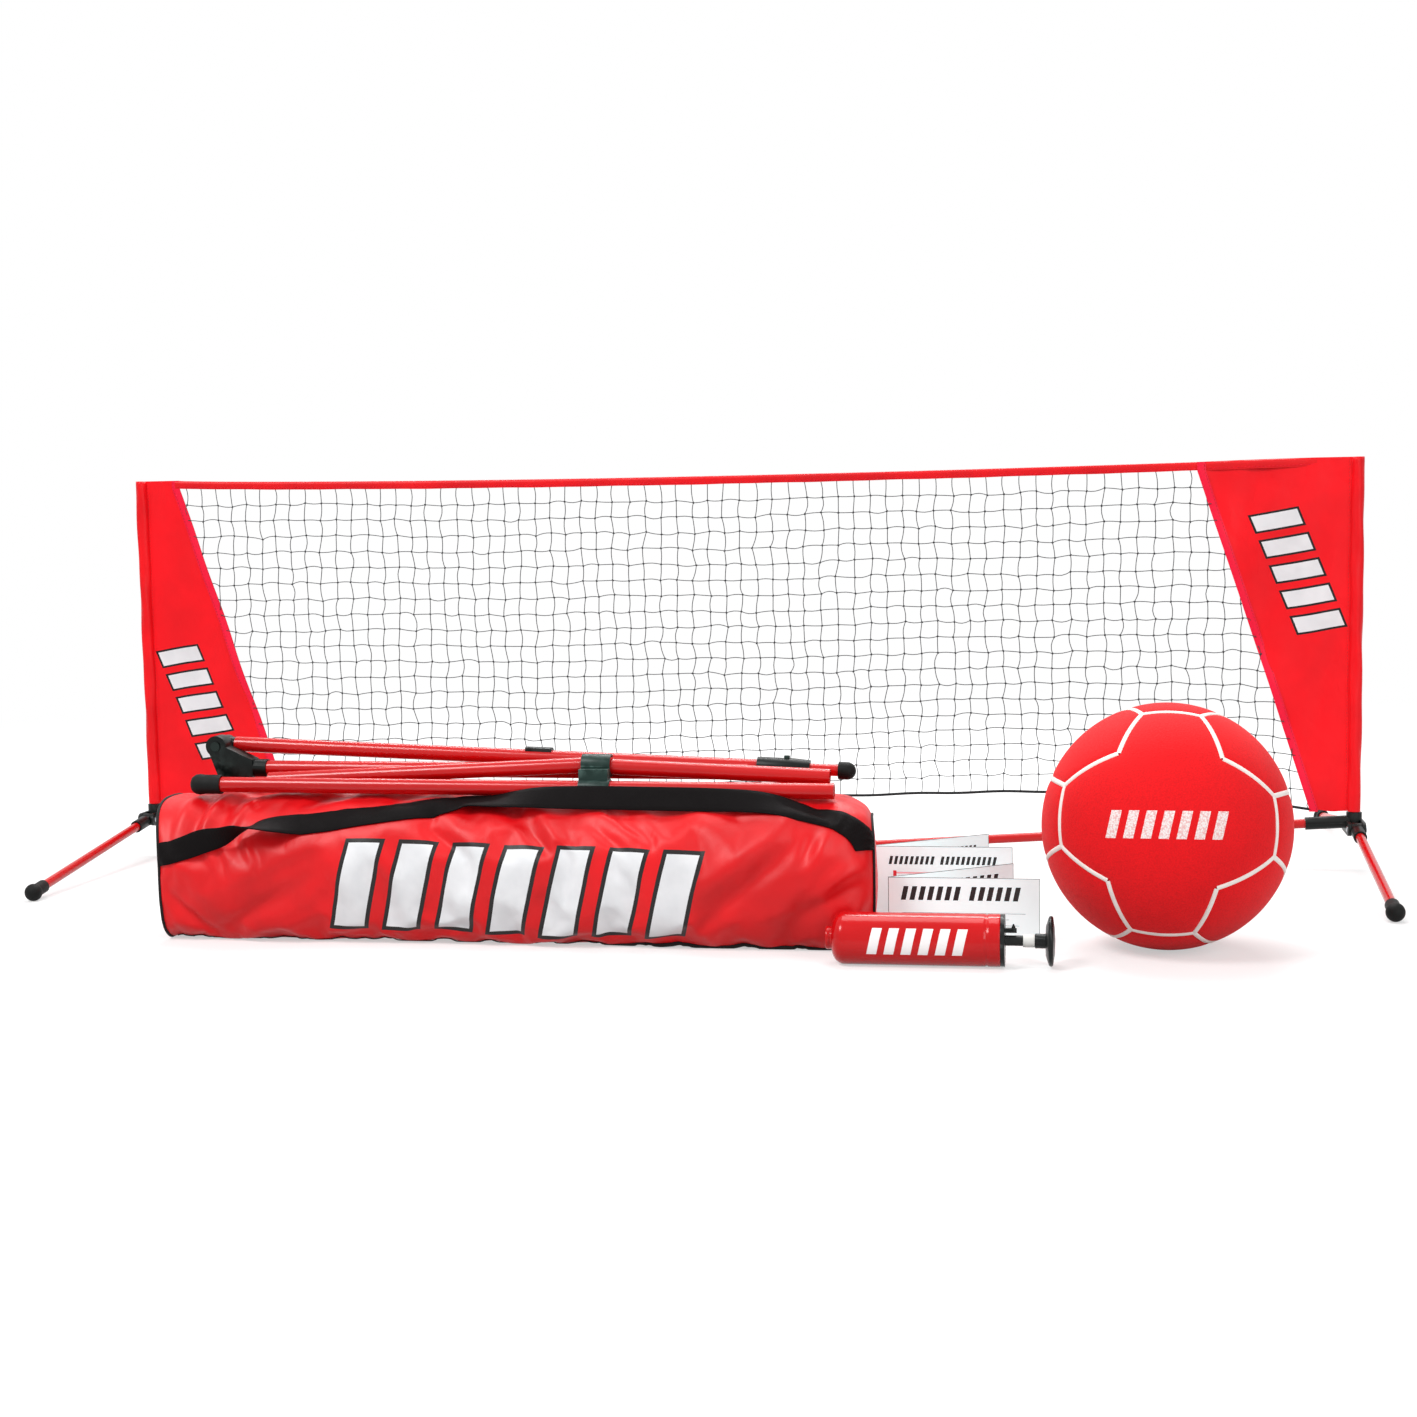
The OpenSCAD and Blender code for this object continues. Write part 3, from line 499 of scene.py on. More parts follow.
piece("netting_knots", beads.reshape(-1, 3), [(tips + first).reshape(-1, 3), (belt + first).reshape(-1, 4)],
      black_twine, "netting_twine", "frame")


# ---------------------------------------------------------------- top tape and foot cord
# The netting hangs from a red polyester tape folded over its head cord and lock-stitched
# below it. A black braided cord, 3.4 mm thick, runs through the bottom row of meshes and
# is tied off inside both panels.
tape_cloth = polyester("polyester_tape_red", "E80E18", "D20C16", 0.2)
x = np.linspace(-SLIM_X - 0.004, SLIM_X + 0.004, 420)
fold = np.array([(-0.0012, 0), (-0.0015, 0.003), (-0.0017, 0.0065), (-0.0013, 0.0092), (0, 0.0100),
                 (0.0013, 0.0092), (0.0017, 0.0065), (0.0015, 0.003), (0.0012, 0)])
slack = 0.0004 * np.sin(x * 37) + 0.0003 * np.sin(x * 91 + 1)
dip = hang(x, np.full_like(x, TAPE_Z))
tape_lie = np.stack(np.broadcast_arrays(
    x[:, None], NET_Y + fold[:, 0] + slack[:, None],
    TAPE_Z + fold[:, 1] + dip[:, None] + 0.4 * slack[:, None] * (fold[:, 1] < 0.001)), -1)
tape = piece("top_tape_cloth", tape_lie.reshape(-1, 3), [grid(len(x), len(fold))[:, ::-1]],
             tape_cloth, "red_cloth", "frame")
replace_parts(tape, "top_tape")
line = np.stack([x, NET_Y - 0.0017 + slack, TAPE_Z + 0.0022 + dip], 1)
piece("top_tape_stitches", *stitches(line, 0.0045, 0.003, 0.00026), binding_tape, "red_cloth", "frame")

black_braid = braid("polyethylene_cord_black", "0C0D0E", "26282A")
x = np.linspace(-WIDE_X - 0.006, SLIM_X + 0.006, 520)
spine = np.stack([x, NET_Y + 0.0005 * np.sin(43 * x),
                  HEM_Z - 0.0015 + hang(x, np.full_like(x, HEM_Z)) + 0.0006 * np.sin(60 * x)], 1)
foot_cord = piece("foot_cord_braid", *cord(spine, 0.0016, 8, (0, 1, 0)), black_braid, "black_tape", "frame")
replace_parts(foot_cord, "bottom_tape")


# ---------------------------------------------------------------- ball
# A rubber bladder covered in fourteen panels of rubber-backed jersey: a plus on the front
# and on the back, four strips between their arms and eight corner panels. The panels are
# glued edge to edge in a shallow groove, and cream cotton tape is bonded over each seam.
BALL = sum(np.array(corner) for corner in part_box("ball_cover")) / 2
BALL_R = 0.1203
PLUS = [(-0.193, 0.891), (0.268, 0.877), (0.428, 0.529), (0.826, 0.246), (0.826, -0.232), (0.384, -0.478),
        (0.217, -0.841), (-0.275, -0.826), (-0.449, -0.435), (-0.819, -0.174), (-0.797, 0.312), (-0.370, 0.565)]
front = unit(np.array([-0.0416, -0.9877, 0.1512]))
east = unit(np.cross([0, 0, 1.0], front))
north = np.cross(front, east)


def on_ball(across, up, face):
    """The point of the unit sphere that lies across and up on its front or back face:
    across east + up north + sqrt(1 - across^2 - up^2) front."""
    return across * east + up * north + face * math.sqrt(1 - across**2 - up**2) * front


def arc(p, q):
    """The great circle from p to q: (sin((1 - s) w) p + sin(s w) q) / sin w."""
    w = math.acos(float(p @ q))
    s = np.linspace(0, 1, max(3, int(w / 0.012)))[:, None]
    return (np.sin((1 - s) * w) * p + np.sin(s * w) * q) / math.sin(w)


def jersey(name, base, shade, ink, bars_at):
    """Rubber-backed jersey: knit of 1.6 mm loops, dull and a little hairy, so it has a soft
    bloom at its rim and no highlight; the white bars are worn where the loops stand up."""
    m, t, spot, flat = bare(name)
    loop = add(t, "TexVoronoi", {"Vector": spot, "Scale": 620.0})
    cloud = add(t, "TexNoise", {"Vector": spot, "Scale": 60.0, "Detail": 4.0})
    tone = add(t, "Mix", {0: cloud, 6: linear(base), 7: linear(shade)}, data_type="RGBA")
    # painted shade: the hollows between the knit's loops are darkened towards B80A12
    loop_hollow_shade = add(t, "Math", {0: loop, 1: 0.5}, operation="MULTIPLY")
    tone = add(t, "Mix", {0: loop_hollow_shade, 6: tone, 7: linear("B80A12")}, data_type="RGBA")
    place = add(t, "Mapping", {"Vector": flat, "Location": bars_at})
    wear = add(t, "MapRange", {"Value": loop, "From Min": 0.75, "From Max": 0.35, "To Min": 0.55})
    bars = add(t, "Math", {0: slanted_bars(t, place, 0.026, 7), 1: wear}, operation="MULTIPLY")
    tone = add(t, "Mix", {0: bars, 6: tone, 7: linear(ink)}, data_type="RGBA")
    soft = add(t, "TexNoise", {"Vector": spot, "Scale": 40.0, "Detail": 3.0})
    lie = add(t, "Bump", {"Height": soft, "Distance": 0.0008, "Strength": 0.3})
    lie = add(t, "Bump", {"Height": loop, "Distance": 0.0003, "Strength": 0.6, "Normal": lie})
    knit = add(t, "BsdfPrincipled", {
        "Base Color": tone, "Roughness": 0.80, "Specular IOR Level": 0.18, "Sheen Weight": 0.05,
        "Sheen Roughness": 0.6, "Normal": lie,
    })
    add(t, "OutputMaterial", {"Surface": knit})
    return m


arcs, rim = [], []
for face in (1, -1):
    corners = [on_ball(*p, face) for p in PLUS]
    arcs += [arc(p, q) for p, q in zip(corners, corners[1:] + corners[:1])]
for k, turn in ((0, 7), (1, -10), (3, 0), (4, -6), (6, 8), (7, -8), (9, 5), (10, -1)):
    across, up = PLUS[k]
    bearing = math.atan2(up, across) + math.radians(turn)
    rim.append(math.cos(bearing) * east + math.sin(bearing) * north)
    arcs += [arc(on_ball(across, up, 1), rim[-1]), arc(rim[-1], on_ball(across, up, -1))]
arcs += [arc(rim[k], rim[(k + 1) % 8]) for k in (1, 3, 5, 7)]
seam_points = np.concatenate(arcs)

# cover: a cube's six faces blown up to a sphere, less a groove 1.1 mm deep and 3 mm wide
FINE = 60
s = np.tan(np.linspace(-np.pi / 4, np.pi / 4, FINE))
u, v = np.meshgrid(s, s, indexing="ij")
faces_of_cube = []
for k in range(3):
    for sign in (1, -1):
        p = unit(np.roll(np.stack([sign * np.ones_like(u), u, v * sign], -1), k, axis=-1).reshape(-1, 3))
        gap = np.arccos(np.clip((p @ seam_points.T).max(1), -1, 1)) * BALL_R
        r = BALL_R - 0.0011 * np.exp(-(gap / 0.0034) ** 2) - 0.0004 * np.exp(-(gap / 0.010) ** 2)
        faces_of_cube.append((p * r[:, None], [grid(FINE, FINE)[:, ::-1]]))
points, faces = joined(faces_of_cube)
flat = np.stack([points @ east, points @ north], 1) + (points @ front < 0)[:, None] * 9.0
ball = piece("ball_cover_jersey", points + BALL, faces, jersey(
    "rubber_backed_jersey_red", "F60C16", "E60812", "F2ECEA", (0.056, -0.001, 0)), "ball_skin", "ball", flat)
work = bmesh.new()
work.from_mesh(ball.data)
bmesh.ops.remove_doubles(work, verts=work.verts, dist=1e-5)
work.to_mesh(ball.data)
work.free()
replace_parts(ball, "ball_cover")

# tape: an arched ribbon 5 mm wide laid along every seam
m, t, spot, _ = bare("cotton_seam_tape_cream")
fibre = add(t, "TexNoise", {"Vector": spot, "Scale": 1100.0, "Detail": 2.0})
grime = add(t, "TexNoise", {"Vector": spot, "Scale": 55.0, "Detail": 4.0})
add(t, "OutputMaterial", {"Surface": add(t, "BsdfPrincipled", {
    "Base Color": add(t, "Mix", {0: grime, 6: linear("F9F5F1"), 7: linear("ECDFD8")}, data_type="RGBA"),
    "Roughness": 0.8, "Normal": add(t, "Bump", {"Height": fibre, "Distance": 0.0002, "Strength": 0.5})})})
reach = np.array([-0.0025, -0.0020, -0.0008, 0.0008, 0.0020, 0.0025])
rise = np.array([-0.0012, -0.0004, 0.0, 0.0, -0.0004, -0.0012])
ribbons = []
for line in arcs:
    across = unit(np.cross(np.gradient(line, axis=0), line))
    ribbon = line[:, None] * (BALL_R + rise)[:, None] + across[:, None] * reach[:, None]
    ribbons.append(((ribbon + BALL).reshape(-1, 3), [grid(len(line), len(reach))]))
piece("ball_seam_tape", *joined(ribbons), m, "ball_skin", "ball")
moulded("ball_bladder", 0.0001, black_rubber)
moulded("ball_valve", 0.0004, black_rubber)


# ---------------------------------------------------------------- pump
# A hand pump lying on its side. The barrel is blow-moulded in glossy red polypropylene
# with a rounded shoulder and nozzle, the cap and rod are satin black ABS, and the rod
# carries a white band below its round push plate.
barrel_lo, barrel_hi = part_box("pump_barrel")
PUMP = np.array([barrel_lo[0], (barrel_lo[1] + barrel_hi[1]) / 2, 0.025])


def turned(profile, sides):
    """A turned shape lying along the pump: each (radius, height) of the profile carried
    round its axis at sides even steps."""
    a = np.linspace(0, 2 * np.pi, sides, endpoint=False)
    r, h = profile[:, :1], profile[:, 1:]
    points = np.stack([h + 0 * a, r * np.sin(a), -r * np.cos(a)], -1) + PUMP
    return points.reshape(-1, 3), [grid(len(profile), sides, False, True)]


def gloss_plastic(name, base, shade, bars_at):
    """Blow-moulded polypropylene: mirror-like skin with slow waves of flow along it."""
    m, t, spot, flat = bare(name)
    long = add(t, "Mapping", {"Vector": spot, "Scale": (0.25, 1, 1)})
    flow = add(t, "TexNoise", {"Vector": long, "Scale": 50.0})
    tone = add(t, "Mix", {0: flow, 6: linear(base), 7: linear(shade)}, data_type="RGBA")
    place = add(t, "Mapping", {"Vector": flat, "Location": bars_at})
    bars = slanted_bars(t, place, 0.026, 6)
    tone = add(t, "Mix", {0: bars, 6: tone, 7: linear("F4F0F0")}, data_type="RGBA")
    haze = add(t, "TexNoise", {"Vector": spot, "Scale": 90.0, "Detail": 3.0})
    skin = add(t, "BsdfPrincipled", {
        "Base Color": tone, "Roughness": add(t, "MapRange", {"Value": haze, "To Min": 0.14, "To Max": 0.30}),
        "Specular IOR Level": 0.15, "Coat Weight": 0.25, "Coat Roughness": 0.06,
        "Normal": add(t, "Bump", {"Height": flow, "Distance": 0.0003, "Strength": 0.15}),
    })
    add(t, "OutputMaterial", {"Surface": skin})
    return m


a = np.linspace(0, np.pi / 2, 16)
shoulder = np.stack([0.011 + 0.014 * np.sin(a), 0.006 + 0.012 * (1 - np.cos(a))], 1)
straight = np.stack([np.full(9, 0.025), np.linspace(0.03, 0.150, 9)], 1)
nozzle = [(0.00375, 0.011), (0.00375, 0.0004), (0.0041, 0), (0.0100, 0), (0.0107, 0.0003),
          (0.0110, 0.0010), (0.0110, 0.0036), (0.0106, 0.0042), (0.0106, 0.0048), (0.0110, 0.0054)]
groove = [(0.0249, 0.1516), (0.0243, 0.1524), (0.0243, 0.1536), (0.0249, 0.1544)]
mouth = [(0.025, 0.156), (0.025, 0.1648), (0.0248, 0.1657), (0.0242, 0.166), (0.0226, 0.166),
         (0.0225, 0.165), (0.0225, 0.140)]
profile = np.concatenate([nozzle, shoulder, [(0.025, 0.0195)], straight, groove, mouth])
points, faces = turned(profile, 112)
turn = np.arctan2(points[:, 2] - PUMP[2], -(points[:, 1] - PUMP[1]))
barrel = piece("pump_barrel_moulded", points, faces, gloss_plastic(
    "polypropylene_gloss_red", "CC040B", "B20307", (-0.040, -0.002, 0)), "red_gloss", "pump",
    flat=np.stack([points[:, 0] - PUMP[0], turn * 0.025], 1))
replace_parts(barrel, "pump_barrel")
satin_abs = moulding("abs_satin_black", "131616", "4C5250", 0.28, 0.00006)
white_abs = moulding("abs_white", "F0F0EC", "FAFAF8", 0.38, 0.00006)
moulded("pump_end_cap", 0.0005, satin_abs)
moulded("pump_rod", 0.0003, satin_abs)
moulded("pump_piston", 0.0003, white_abs)
moulded("pump_seal", 0.0003, black_rubber)
moulded("pump_rod_band", 0.0004, white_abs)
moulded("pump_handle", 0.0006, satin_abs)


# ---------------------------------------------------------------- bag
# The carrying bag, packed full: one sheet of coated polyester rolled round and closed by a
# zip behind, with a round panel sewn into each end. It lies flat below, bulges in front
# and falls away at its right end, and the seams pull creases into it from both ends.
bag_lo, bag_hi = (np.array(c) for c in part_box("bag_body"))
BAG_Y, BAG_Z = (bag_lo[1] + bag_hi[1]) / 2, 0.070
ROWS, COLS = 168, 113


def bag_skin(x, a):
    """The smooth bag at a distance x and an angle a round it, 0 in the middle of the front:
    half its depth times sign(c) |c| ** p of cos a across, the same of sin a up, with p 0.8
    above and 0.5 where it sags square onto the floor. It is drawn in near its left end and
    rounded over the last 44 mm on the right, and both seams lean a little."""
    power = np.where(np.sin(a) > 0, 0.8, 0.5)
    across, up = (np.sign(c) * np.abs(c) ** power for c in (np.cos(a), np.sin(a)))
    left, right = np.exp((bag_lo[0] - x) / 0.030), np.exp((x - bag_hi[0]) / 0.030)
    fall = 1 - np.sqrt(1 - np.clip(1 + (x - bag_hi[0]) / 0.044, 0, 0.985) ** 2)
    deep = (bag_hi[1] - BAG_Y) * (1 - 0.05 * left - 0.03 * right - 0.42 * fall)
    high = (bag_hi[2] - BAG_Z) * (1 - 0.045 * ((x + 0.03) / 0.45) ** 2) * (1 - 0.04 * left - 0.32 * fall)
    z = BAG_Z + np.where(up > 0, high, 0.074 * (1 - 0.02 * left)) * up
    lean = 0.016 * left * np.maximum(np.sin(a), 0) ** 2 - 0.006 * right * (1 + np.cos(a))
    return np.stack(np.broadcast_arrays(x - lean, BAG_Y - deep * across, np.maximum(z, 0.0006)), -1)


def facing_out(points):
    """The outward direction at each point of the bag's grid: the unit vector square to
    its two grid lines there."""
    return unit(np.cross(np.gradient(points, axis=0), np.gradient(points, axis=1)))


# v is the distance round the bag from the middle of its front; the zip closes it at ZIP_V
a_fine = np.linspace(0, 2 * np.pi, 4001)
section = bag_skin(np.zeros(4001), a_fine)
round_it = np.concatenate([[0], np.cumsum(np.linalg.norm(np.diff(section, axis=0), axis=1))])
GIRTH = round_it[-1]
ZIP_V = np.interp(np.radians(125), a_fine, round_it)
bag_x = np.linspace(bag_lo[0], bag_hi[0], ROWS)
bag_v = np.linspace(ZIP_V - GIRTH, ZIP_V, COLS)
x, v = np.meshgrid(bag_x, bag_v, indexing="ij")
smooth_bag = bag_skin(x, np.interp(v % GIRTH, round_it, a_fine))
outward = facing_out(smooth_bag)

# creases in mm on the flat cloth: from x, v to x, v, height (a valley if negative), width
creases = np.array([
    (-458, -66, -345, -6, -5.78, 10), (-478, -34, -360, 26, 4.08, 15), (-424, -70, -318, -36, 4.42, 10),
    (-497, -20, -446, -64, -3.06, 7), (-484, 42, -470, 118, 4.42, 5), (-468, 34, -456, 112, -4.08, 5),
    (-456, 44, -446, 120, 4.42, 5), (-440, 52, -430, 118, -3.4, 6), (-428, 50, -412, 104, 3.74, 6),
    (-452, 36, -436, 12, 3.74, 5), (-440, 30, -424, 2, -2.72, 5), (-412, 42, -396, 18, 3.74, 5),
    (-398, -6, -322, 28, -3.06, 9), (-500, 6, -402, 8, 2.38, 11), (-500, -48, -440, -54, 2.38, 8),
    (-248, -68, -170, -50, -2.72, 8), (-122, -70, -34, -44, 2.89, 10), (-330, -72, -268, -56, -2.38, 8),
    (-216, 50, -172, 22, -3.06, 7), (-119, 60, -84, 26, -4.08, 6), (-102, 62, -70, 34, 2.72, 6),
    (-50, 60, -10, 30, -4.08, 6), (-34, 66, 8, 40, 3.06, 6), (-82, 72, 4, 66, 2.72, 7),
    (144, 56, 34, -32, 5.1, 13), (162, 42, 56, -46, -5.1, 11), (172, 50, 160, 18, -3.74, 5),
    (184, 50, 172, 16, 3.74, 6), (210, 40, 160, -20, -3.4, 8), (218, 6, 148, -42, -4.08, 9),
    (216, 22, 176, -8, 3.06, 8), (108, -38, 160, -24, 3.4, 8), (28, -48, 74, -30, 2.89, 7),
    (196, -60, 216, -14, 3.06, 7), (94, 80, 190, 62, 5.44, 6), (30, 74, 96, 84, 3.06, 7),
    (-30, -60, 60, -64, -2.55, 8), (-300, 66, -214, 78, 3.06, 8), (-380, 58, -320, 68, -2.72, 7),
    (-470, 150, -380, 120, -3.4, 8), (-300, 118, -180, 150, 3.06, 10), (40, 120, 160, 150, -3.4, 9),
    (-420, 236, -300, 262, -4.08, 10), (-160, 240, -40, 276, 3.74, 11), (60, 232, 180, 270, -4.08, 10),
    (-490, 262, -420, 230, 3.4, 8), (140, 280, 216, 240, 3.4, 8), (-60, 300, 40, 262, -3.4, 9),
]) / 1000
x0, v0, x1, v1, rise, wide = creases.T
wrapped = np.where(v < -0.5 * GIRTH + 0.1, v + GIRTH, v)[..., None]
s = (x[..., None] - x0) * (x1 - x0) + (wrapped - v0) * (v1 - v0)
s = np.clip(s / ((x1 - x0) ** 2 + (v1 - v0) ** 2), 0, 1)
off = np.hypot(x[..., None] - x0 - s * (x1 - x0), wrapped - v0 - s * (v1 - v0))
lump = (rise * np.exp(-(off / wide) ** 2) * (0.25 + 0.75 * np.sin(np.pi * s))).sum(-1)
lump += 0.0011 * np.sin(31 * x + 22 * v + 2.2 * np.sin(17 * v - 9 * x)) * np.sin(12 * x - 41 * v + 1.3)
lump += 0.0006 * np.sin(83 * x - 47 * v + 1.9 * np.sin(36 * v + 20 * x)) + 0.0004 * np.sin(120 * x + 95 * v)
free = np.clip((np.minimum(v - bag_v[0], bag_v[-1] - v) - 0.016) / 0.018, 0, 1)
free = free * np.clip((np.minimum(x - bag_lo[0], bag_hi[0] - x) - 0.001) / 0.010, 0, 1)
bag_lie = smooth_bag + outward * (lump * free - 0.0012 * free)[..., None]
bag_lie[..., 2] = np.clip(bag_lie[..., 2], 0.0006, 0.1485)

bag_cloth = polyester("polyester_bag_red", "E40611", "CA040C", 0.30,
                      (-0.318, -0.008, math.radians(1.0), 0.088, 7), 0.36)
bag = piece("bag_cloth_shell", bag_lie.reshape(-1, 3), [grid(ROWS, COLS)[:, ::-1]], bag_cloth, "red_cloth", "bag",
            flat=np.stack([x, v], -1).reshape(-1, 2))
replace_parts(bag, "bag_body")
CAP = 0.005
# Cloth pass: the sheet is 2.5% larger than the load inside it and pressed out lightly,
# so it buckles between its seams, its zip and the floor; no point moves over the cap
held = (free < 0.02) | (smooth_bag[..., 2] < 0.001)
bag.vertex_groups.new(name="sewn").add(np.flatnonzero(held.ravel()).tolist(), 1.0, "REPLACE")
slack = bag.modifiers.new("slack", "CLOTH")
slack.settings.vertex_group_mass = "sewn"
slack.settings.quality, slack.settings.mass = 6, 0.15
slack.settings.tension_stiffness = slack.settings.compression_stiffness = 22
slack.settings.shear_stiffness, slack.settings.bending_stiffness = 6, 0.6
slack.settings.shrink_min = -0.025
slack.settings.use_pressure, slack.settings.uniform_pressure_force = True, 1.2
slack.settings.effector_weights.gravity = 0
slack.collision_settings.use_collision = False
for step in range(1, 19):
    bpy.context.scene.frame_set(step)
settled = bag.evaluated_get(bpy.context.evaluated_depsgraph_get()).to_mesh()
moved = np.zeros(ROWS * COLS * 3)
settled.vertices.foreach_get("co", moved)
moved = moved.reshape(bag_lie.shape) - bag_lie
moved *= np.minimum(1, CAP / np.maximum(np.linalg.norm(moved, axis=-1, keepdims=True), 1e-6))
bag_lie = bag_lie + moved
bag_lie[..., 2] = np.clip(bag_lie[..., 2], 0.0006, 0.1495)
bag.modifiers.remove(slack)
bpy.context.scene.frame_set(1)
bag.data.vertices.foreach_set("co", bag_lie.ravel())
bag.data.update()
soft = bag.modifiers.new("soft", "SUBSURF")
soft.levels = soft.render_levels = 1


# ---------------------------------------------------------------- bag's ends and piping
# A round panel of the same cloth closes each end, gathered a little into its seam and
# bulged by the load. Black cotton piping is caught in both end seams, and a third run
# edges the fold where the front meets the floor.
plain_cloth = polyester("polyester_bag_end_red", "E40611", "CA040C", 0.35)
HOOPS, BULGE = 26, 0.0050
discs = []
for row, out in ((0, -1), (-1, 1)):
    ring = bag_lie[row]
    r = np.linspace(1, 0.02, HOOPS)[:, None]
    turn = np.linspace(0, 2 * np.pi, COLS)[None]
    middle = np.array([ring[:, 0].mean(), BAG_Y, (ring[:, 2].max() + ring[:, 2].min()) / 2])
    pucker = 0.0011 * np.sin(26 * turn + 3 * np.sin(2 * turn)) * r**4 * np.minimum(1, (1 - r) * 8)
    bulge = BULGE * (1 - r**2) + pucker + 0.0008 * np.sin(3 * turn + 5 * r) * (1 - r)
    disc = middle + (ring - middle) * r[..., None]
    disc[..., 0] += out * bulge
    k = np.arange(COLS - 1)
    tip = np.stack([k, k + 1, 0 * k + COLS], 1) + (HOOPS - 1) * COLS
    discs.append((np.concatenate([disc.reshape(-1, 3), [middle + (out * BULGE, 0, 0)]]),
                  [grid(HOOPS, COLS)[:, ::out], tip[:, ::out]]))
ends = piece("bag_end_panels_cloth", *joined(discs), plain_cloth, "red_cloth", "bag")
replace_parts(ends, "bag_end_panels")


bag_out = facing_out(bag_lie)


def on_bag(x, v, lift):
    """Points on the bag's cloth at x and v, lifted along its outward direction: the four
    grid points round each are weighed by their nearness."""
    i = np.clip((x - bag_x[0]) / (bag_x[1] - bag_x[0]), 0, ROWS - 1.001)
    j = np.clip((v - bag_v[0]) / (bag_v[1] - bag_v[0]), 0, COLS - 1.001)
    i0, j0 = i.astype(int), j.astype(int)
    p, q = (i - i0)[..., None], (j - j0)[..., None]
    place, out = (g[i0, j0] * (1 - p) * (1 - q) + g[i0 + 1, j0] * p * (1 - q)
                  + g[i0, j0 + 1] * (1 - p) * q + g[i0 + 1, j0 + 1] * p * q for g in (bag_lie, bag_out))
    return place + out * np.asarray(lift)[..., None]


def bag_v_at(degrees):
    """The distance v round the bag at an angle round it, read off the plain section."""
    return np.interp(np.radians(degrees) % (2 * np.pi), a_fine, round_it)


piping_cord = braid("cotton_piping_black", "080707", "1A1817")
runs = []
for row, out in ((0, -1), (-1, 1)):
    ring = bag_lie[row] + bag_out[row] * 0.0006
    ring[:, 2] = np.maximum(ring[:, 2], 0.0016)
    runs.append(cord(ring, 0.0015, 10, (1, 0, 0)))
x = np.linspace(-0.494, 0.214, 240)
foot = on_bag(x, np.full_like(x, bag_v_at(-58) - GIRTH), 0.0006 + 0 * x)
foot[:, 2] = np.maximum(foot[:, 2], 0.0026)
runs.append(cord(foot, np.interp(x, (-0.06, 0.02), (0.0006, 0.0024)), 8, (0, 1, 0)))
piping = piece("bag_piping_cord", *joined(runs), piping_cord, "black_tape", "bag")
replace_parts(piping, "bag_piping")


# ---------------------------------------------------------------- zip
# A moulded-tooth nylon zip sewn into the rear shoulder: two woven tapes 14 mm wide, teeth
# every 2.5 mm on each, set half a step apart, and a die-cast slider with a flat pull.
def webbing(name, base, pale, rib, cross):
    """Woven tape: ribs across its length and yarns along it, rib and cross metres apart,
    read from the tape's own surface."""
    m, t, spot, flat = bare(name)
    part = add(t, "SeparateXYZ", {0: flat})
    waves = [add(t, "Math", {0: add(t, "Math", {0: part.outputs[k], 1: 2 * math.pi / size}, operation="MULTIPLY")},
                 operation="SINE") for k, size in ((0, rib), (1, cross))]
    weave = add(t, "Math", {0: waves[0], 1: waves[1], 2: 0.0}, operation="MULTIPLY_ADD")
    face = add(t, "MapRange", {"Value": weave, "From Min": -1.0, "From Max": 1.0})
    lint = add(t, "TexNoise", {"Vector": spot, "Scale": 60.0, "Detail": 3.0})
    tone = add(t, "Mix", {0: face, 6: linear(base), 7: linear(pale)}, data_type="RGBA")
    lie = add(t, "Bump", {"Height": lint, "Distance": 0.0012, "Strength": 0.3})
    lie = add(t, "Bump", {"Height": face, "Distance": 0.0003, "Strength": 0.6, "Normal": lie})
    tape = add(t, "BsdfPrincipled", {
        "Base Color": tone, "Roughness": add(t, "MapRange", {"Value": lint, "To Min": 0.50, "To Max": 0.70}),
        "Specular IOR Level": 0.07, "Normal": lie,
    })
    add(t, "OutputMaterial", {"Surface": tape})
    return m


zip_lo, zip_hi = (np.array(c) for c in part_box("bag_zip"))
zip_woven = webbing("polyester_zip_tape_black", "0C0C0C", "1E1E1E", 0.0012, 0.0012)
x = np.linspace(zip_lo[0], zip_hi[0], 260)[:, None]
tapes, flats = [], []
for near, far in ((ZIP_V - 0.0140, ZIP_V - 0.0008), (ZIP_V - GIRTH + 0.0008, ZIP_V - GIRTH + 0.0140)):
    v = np.linspace(near, far, 7)[None]
    edge = 0.0003 * np.array([-1, 1, 1, 1, 1, 1, -1])[None] + 0 * x
    tapes.append((on_bag(x + 0 * v, v + 0 * x, 0.0006 + edge).reshape(-1, 3), [grid(260, 7)[:, ::-1]]))
    flats.append(np.stack(np.broadcast_arrays(x, v), -1).reshape(-1, 2))
zip_tape = piece("bag_zip_tape", *joined(tapes), zip_woven, "black_tape", "bag", flat=np.concatenate(flats))
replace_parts(zip_tape, "bag_zip")

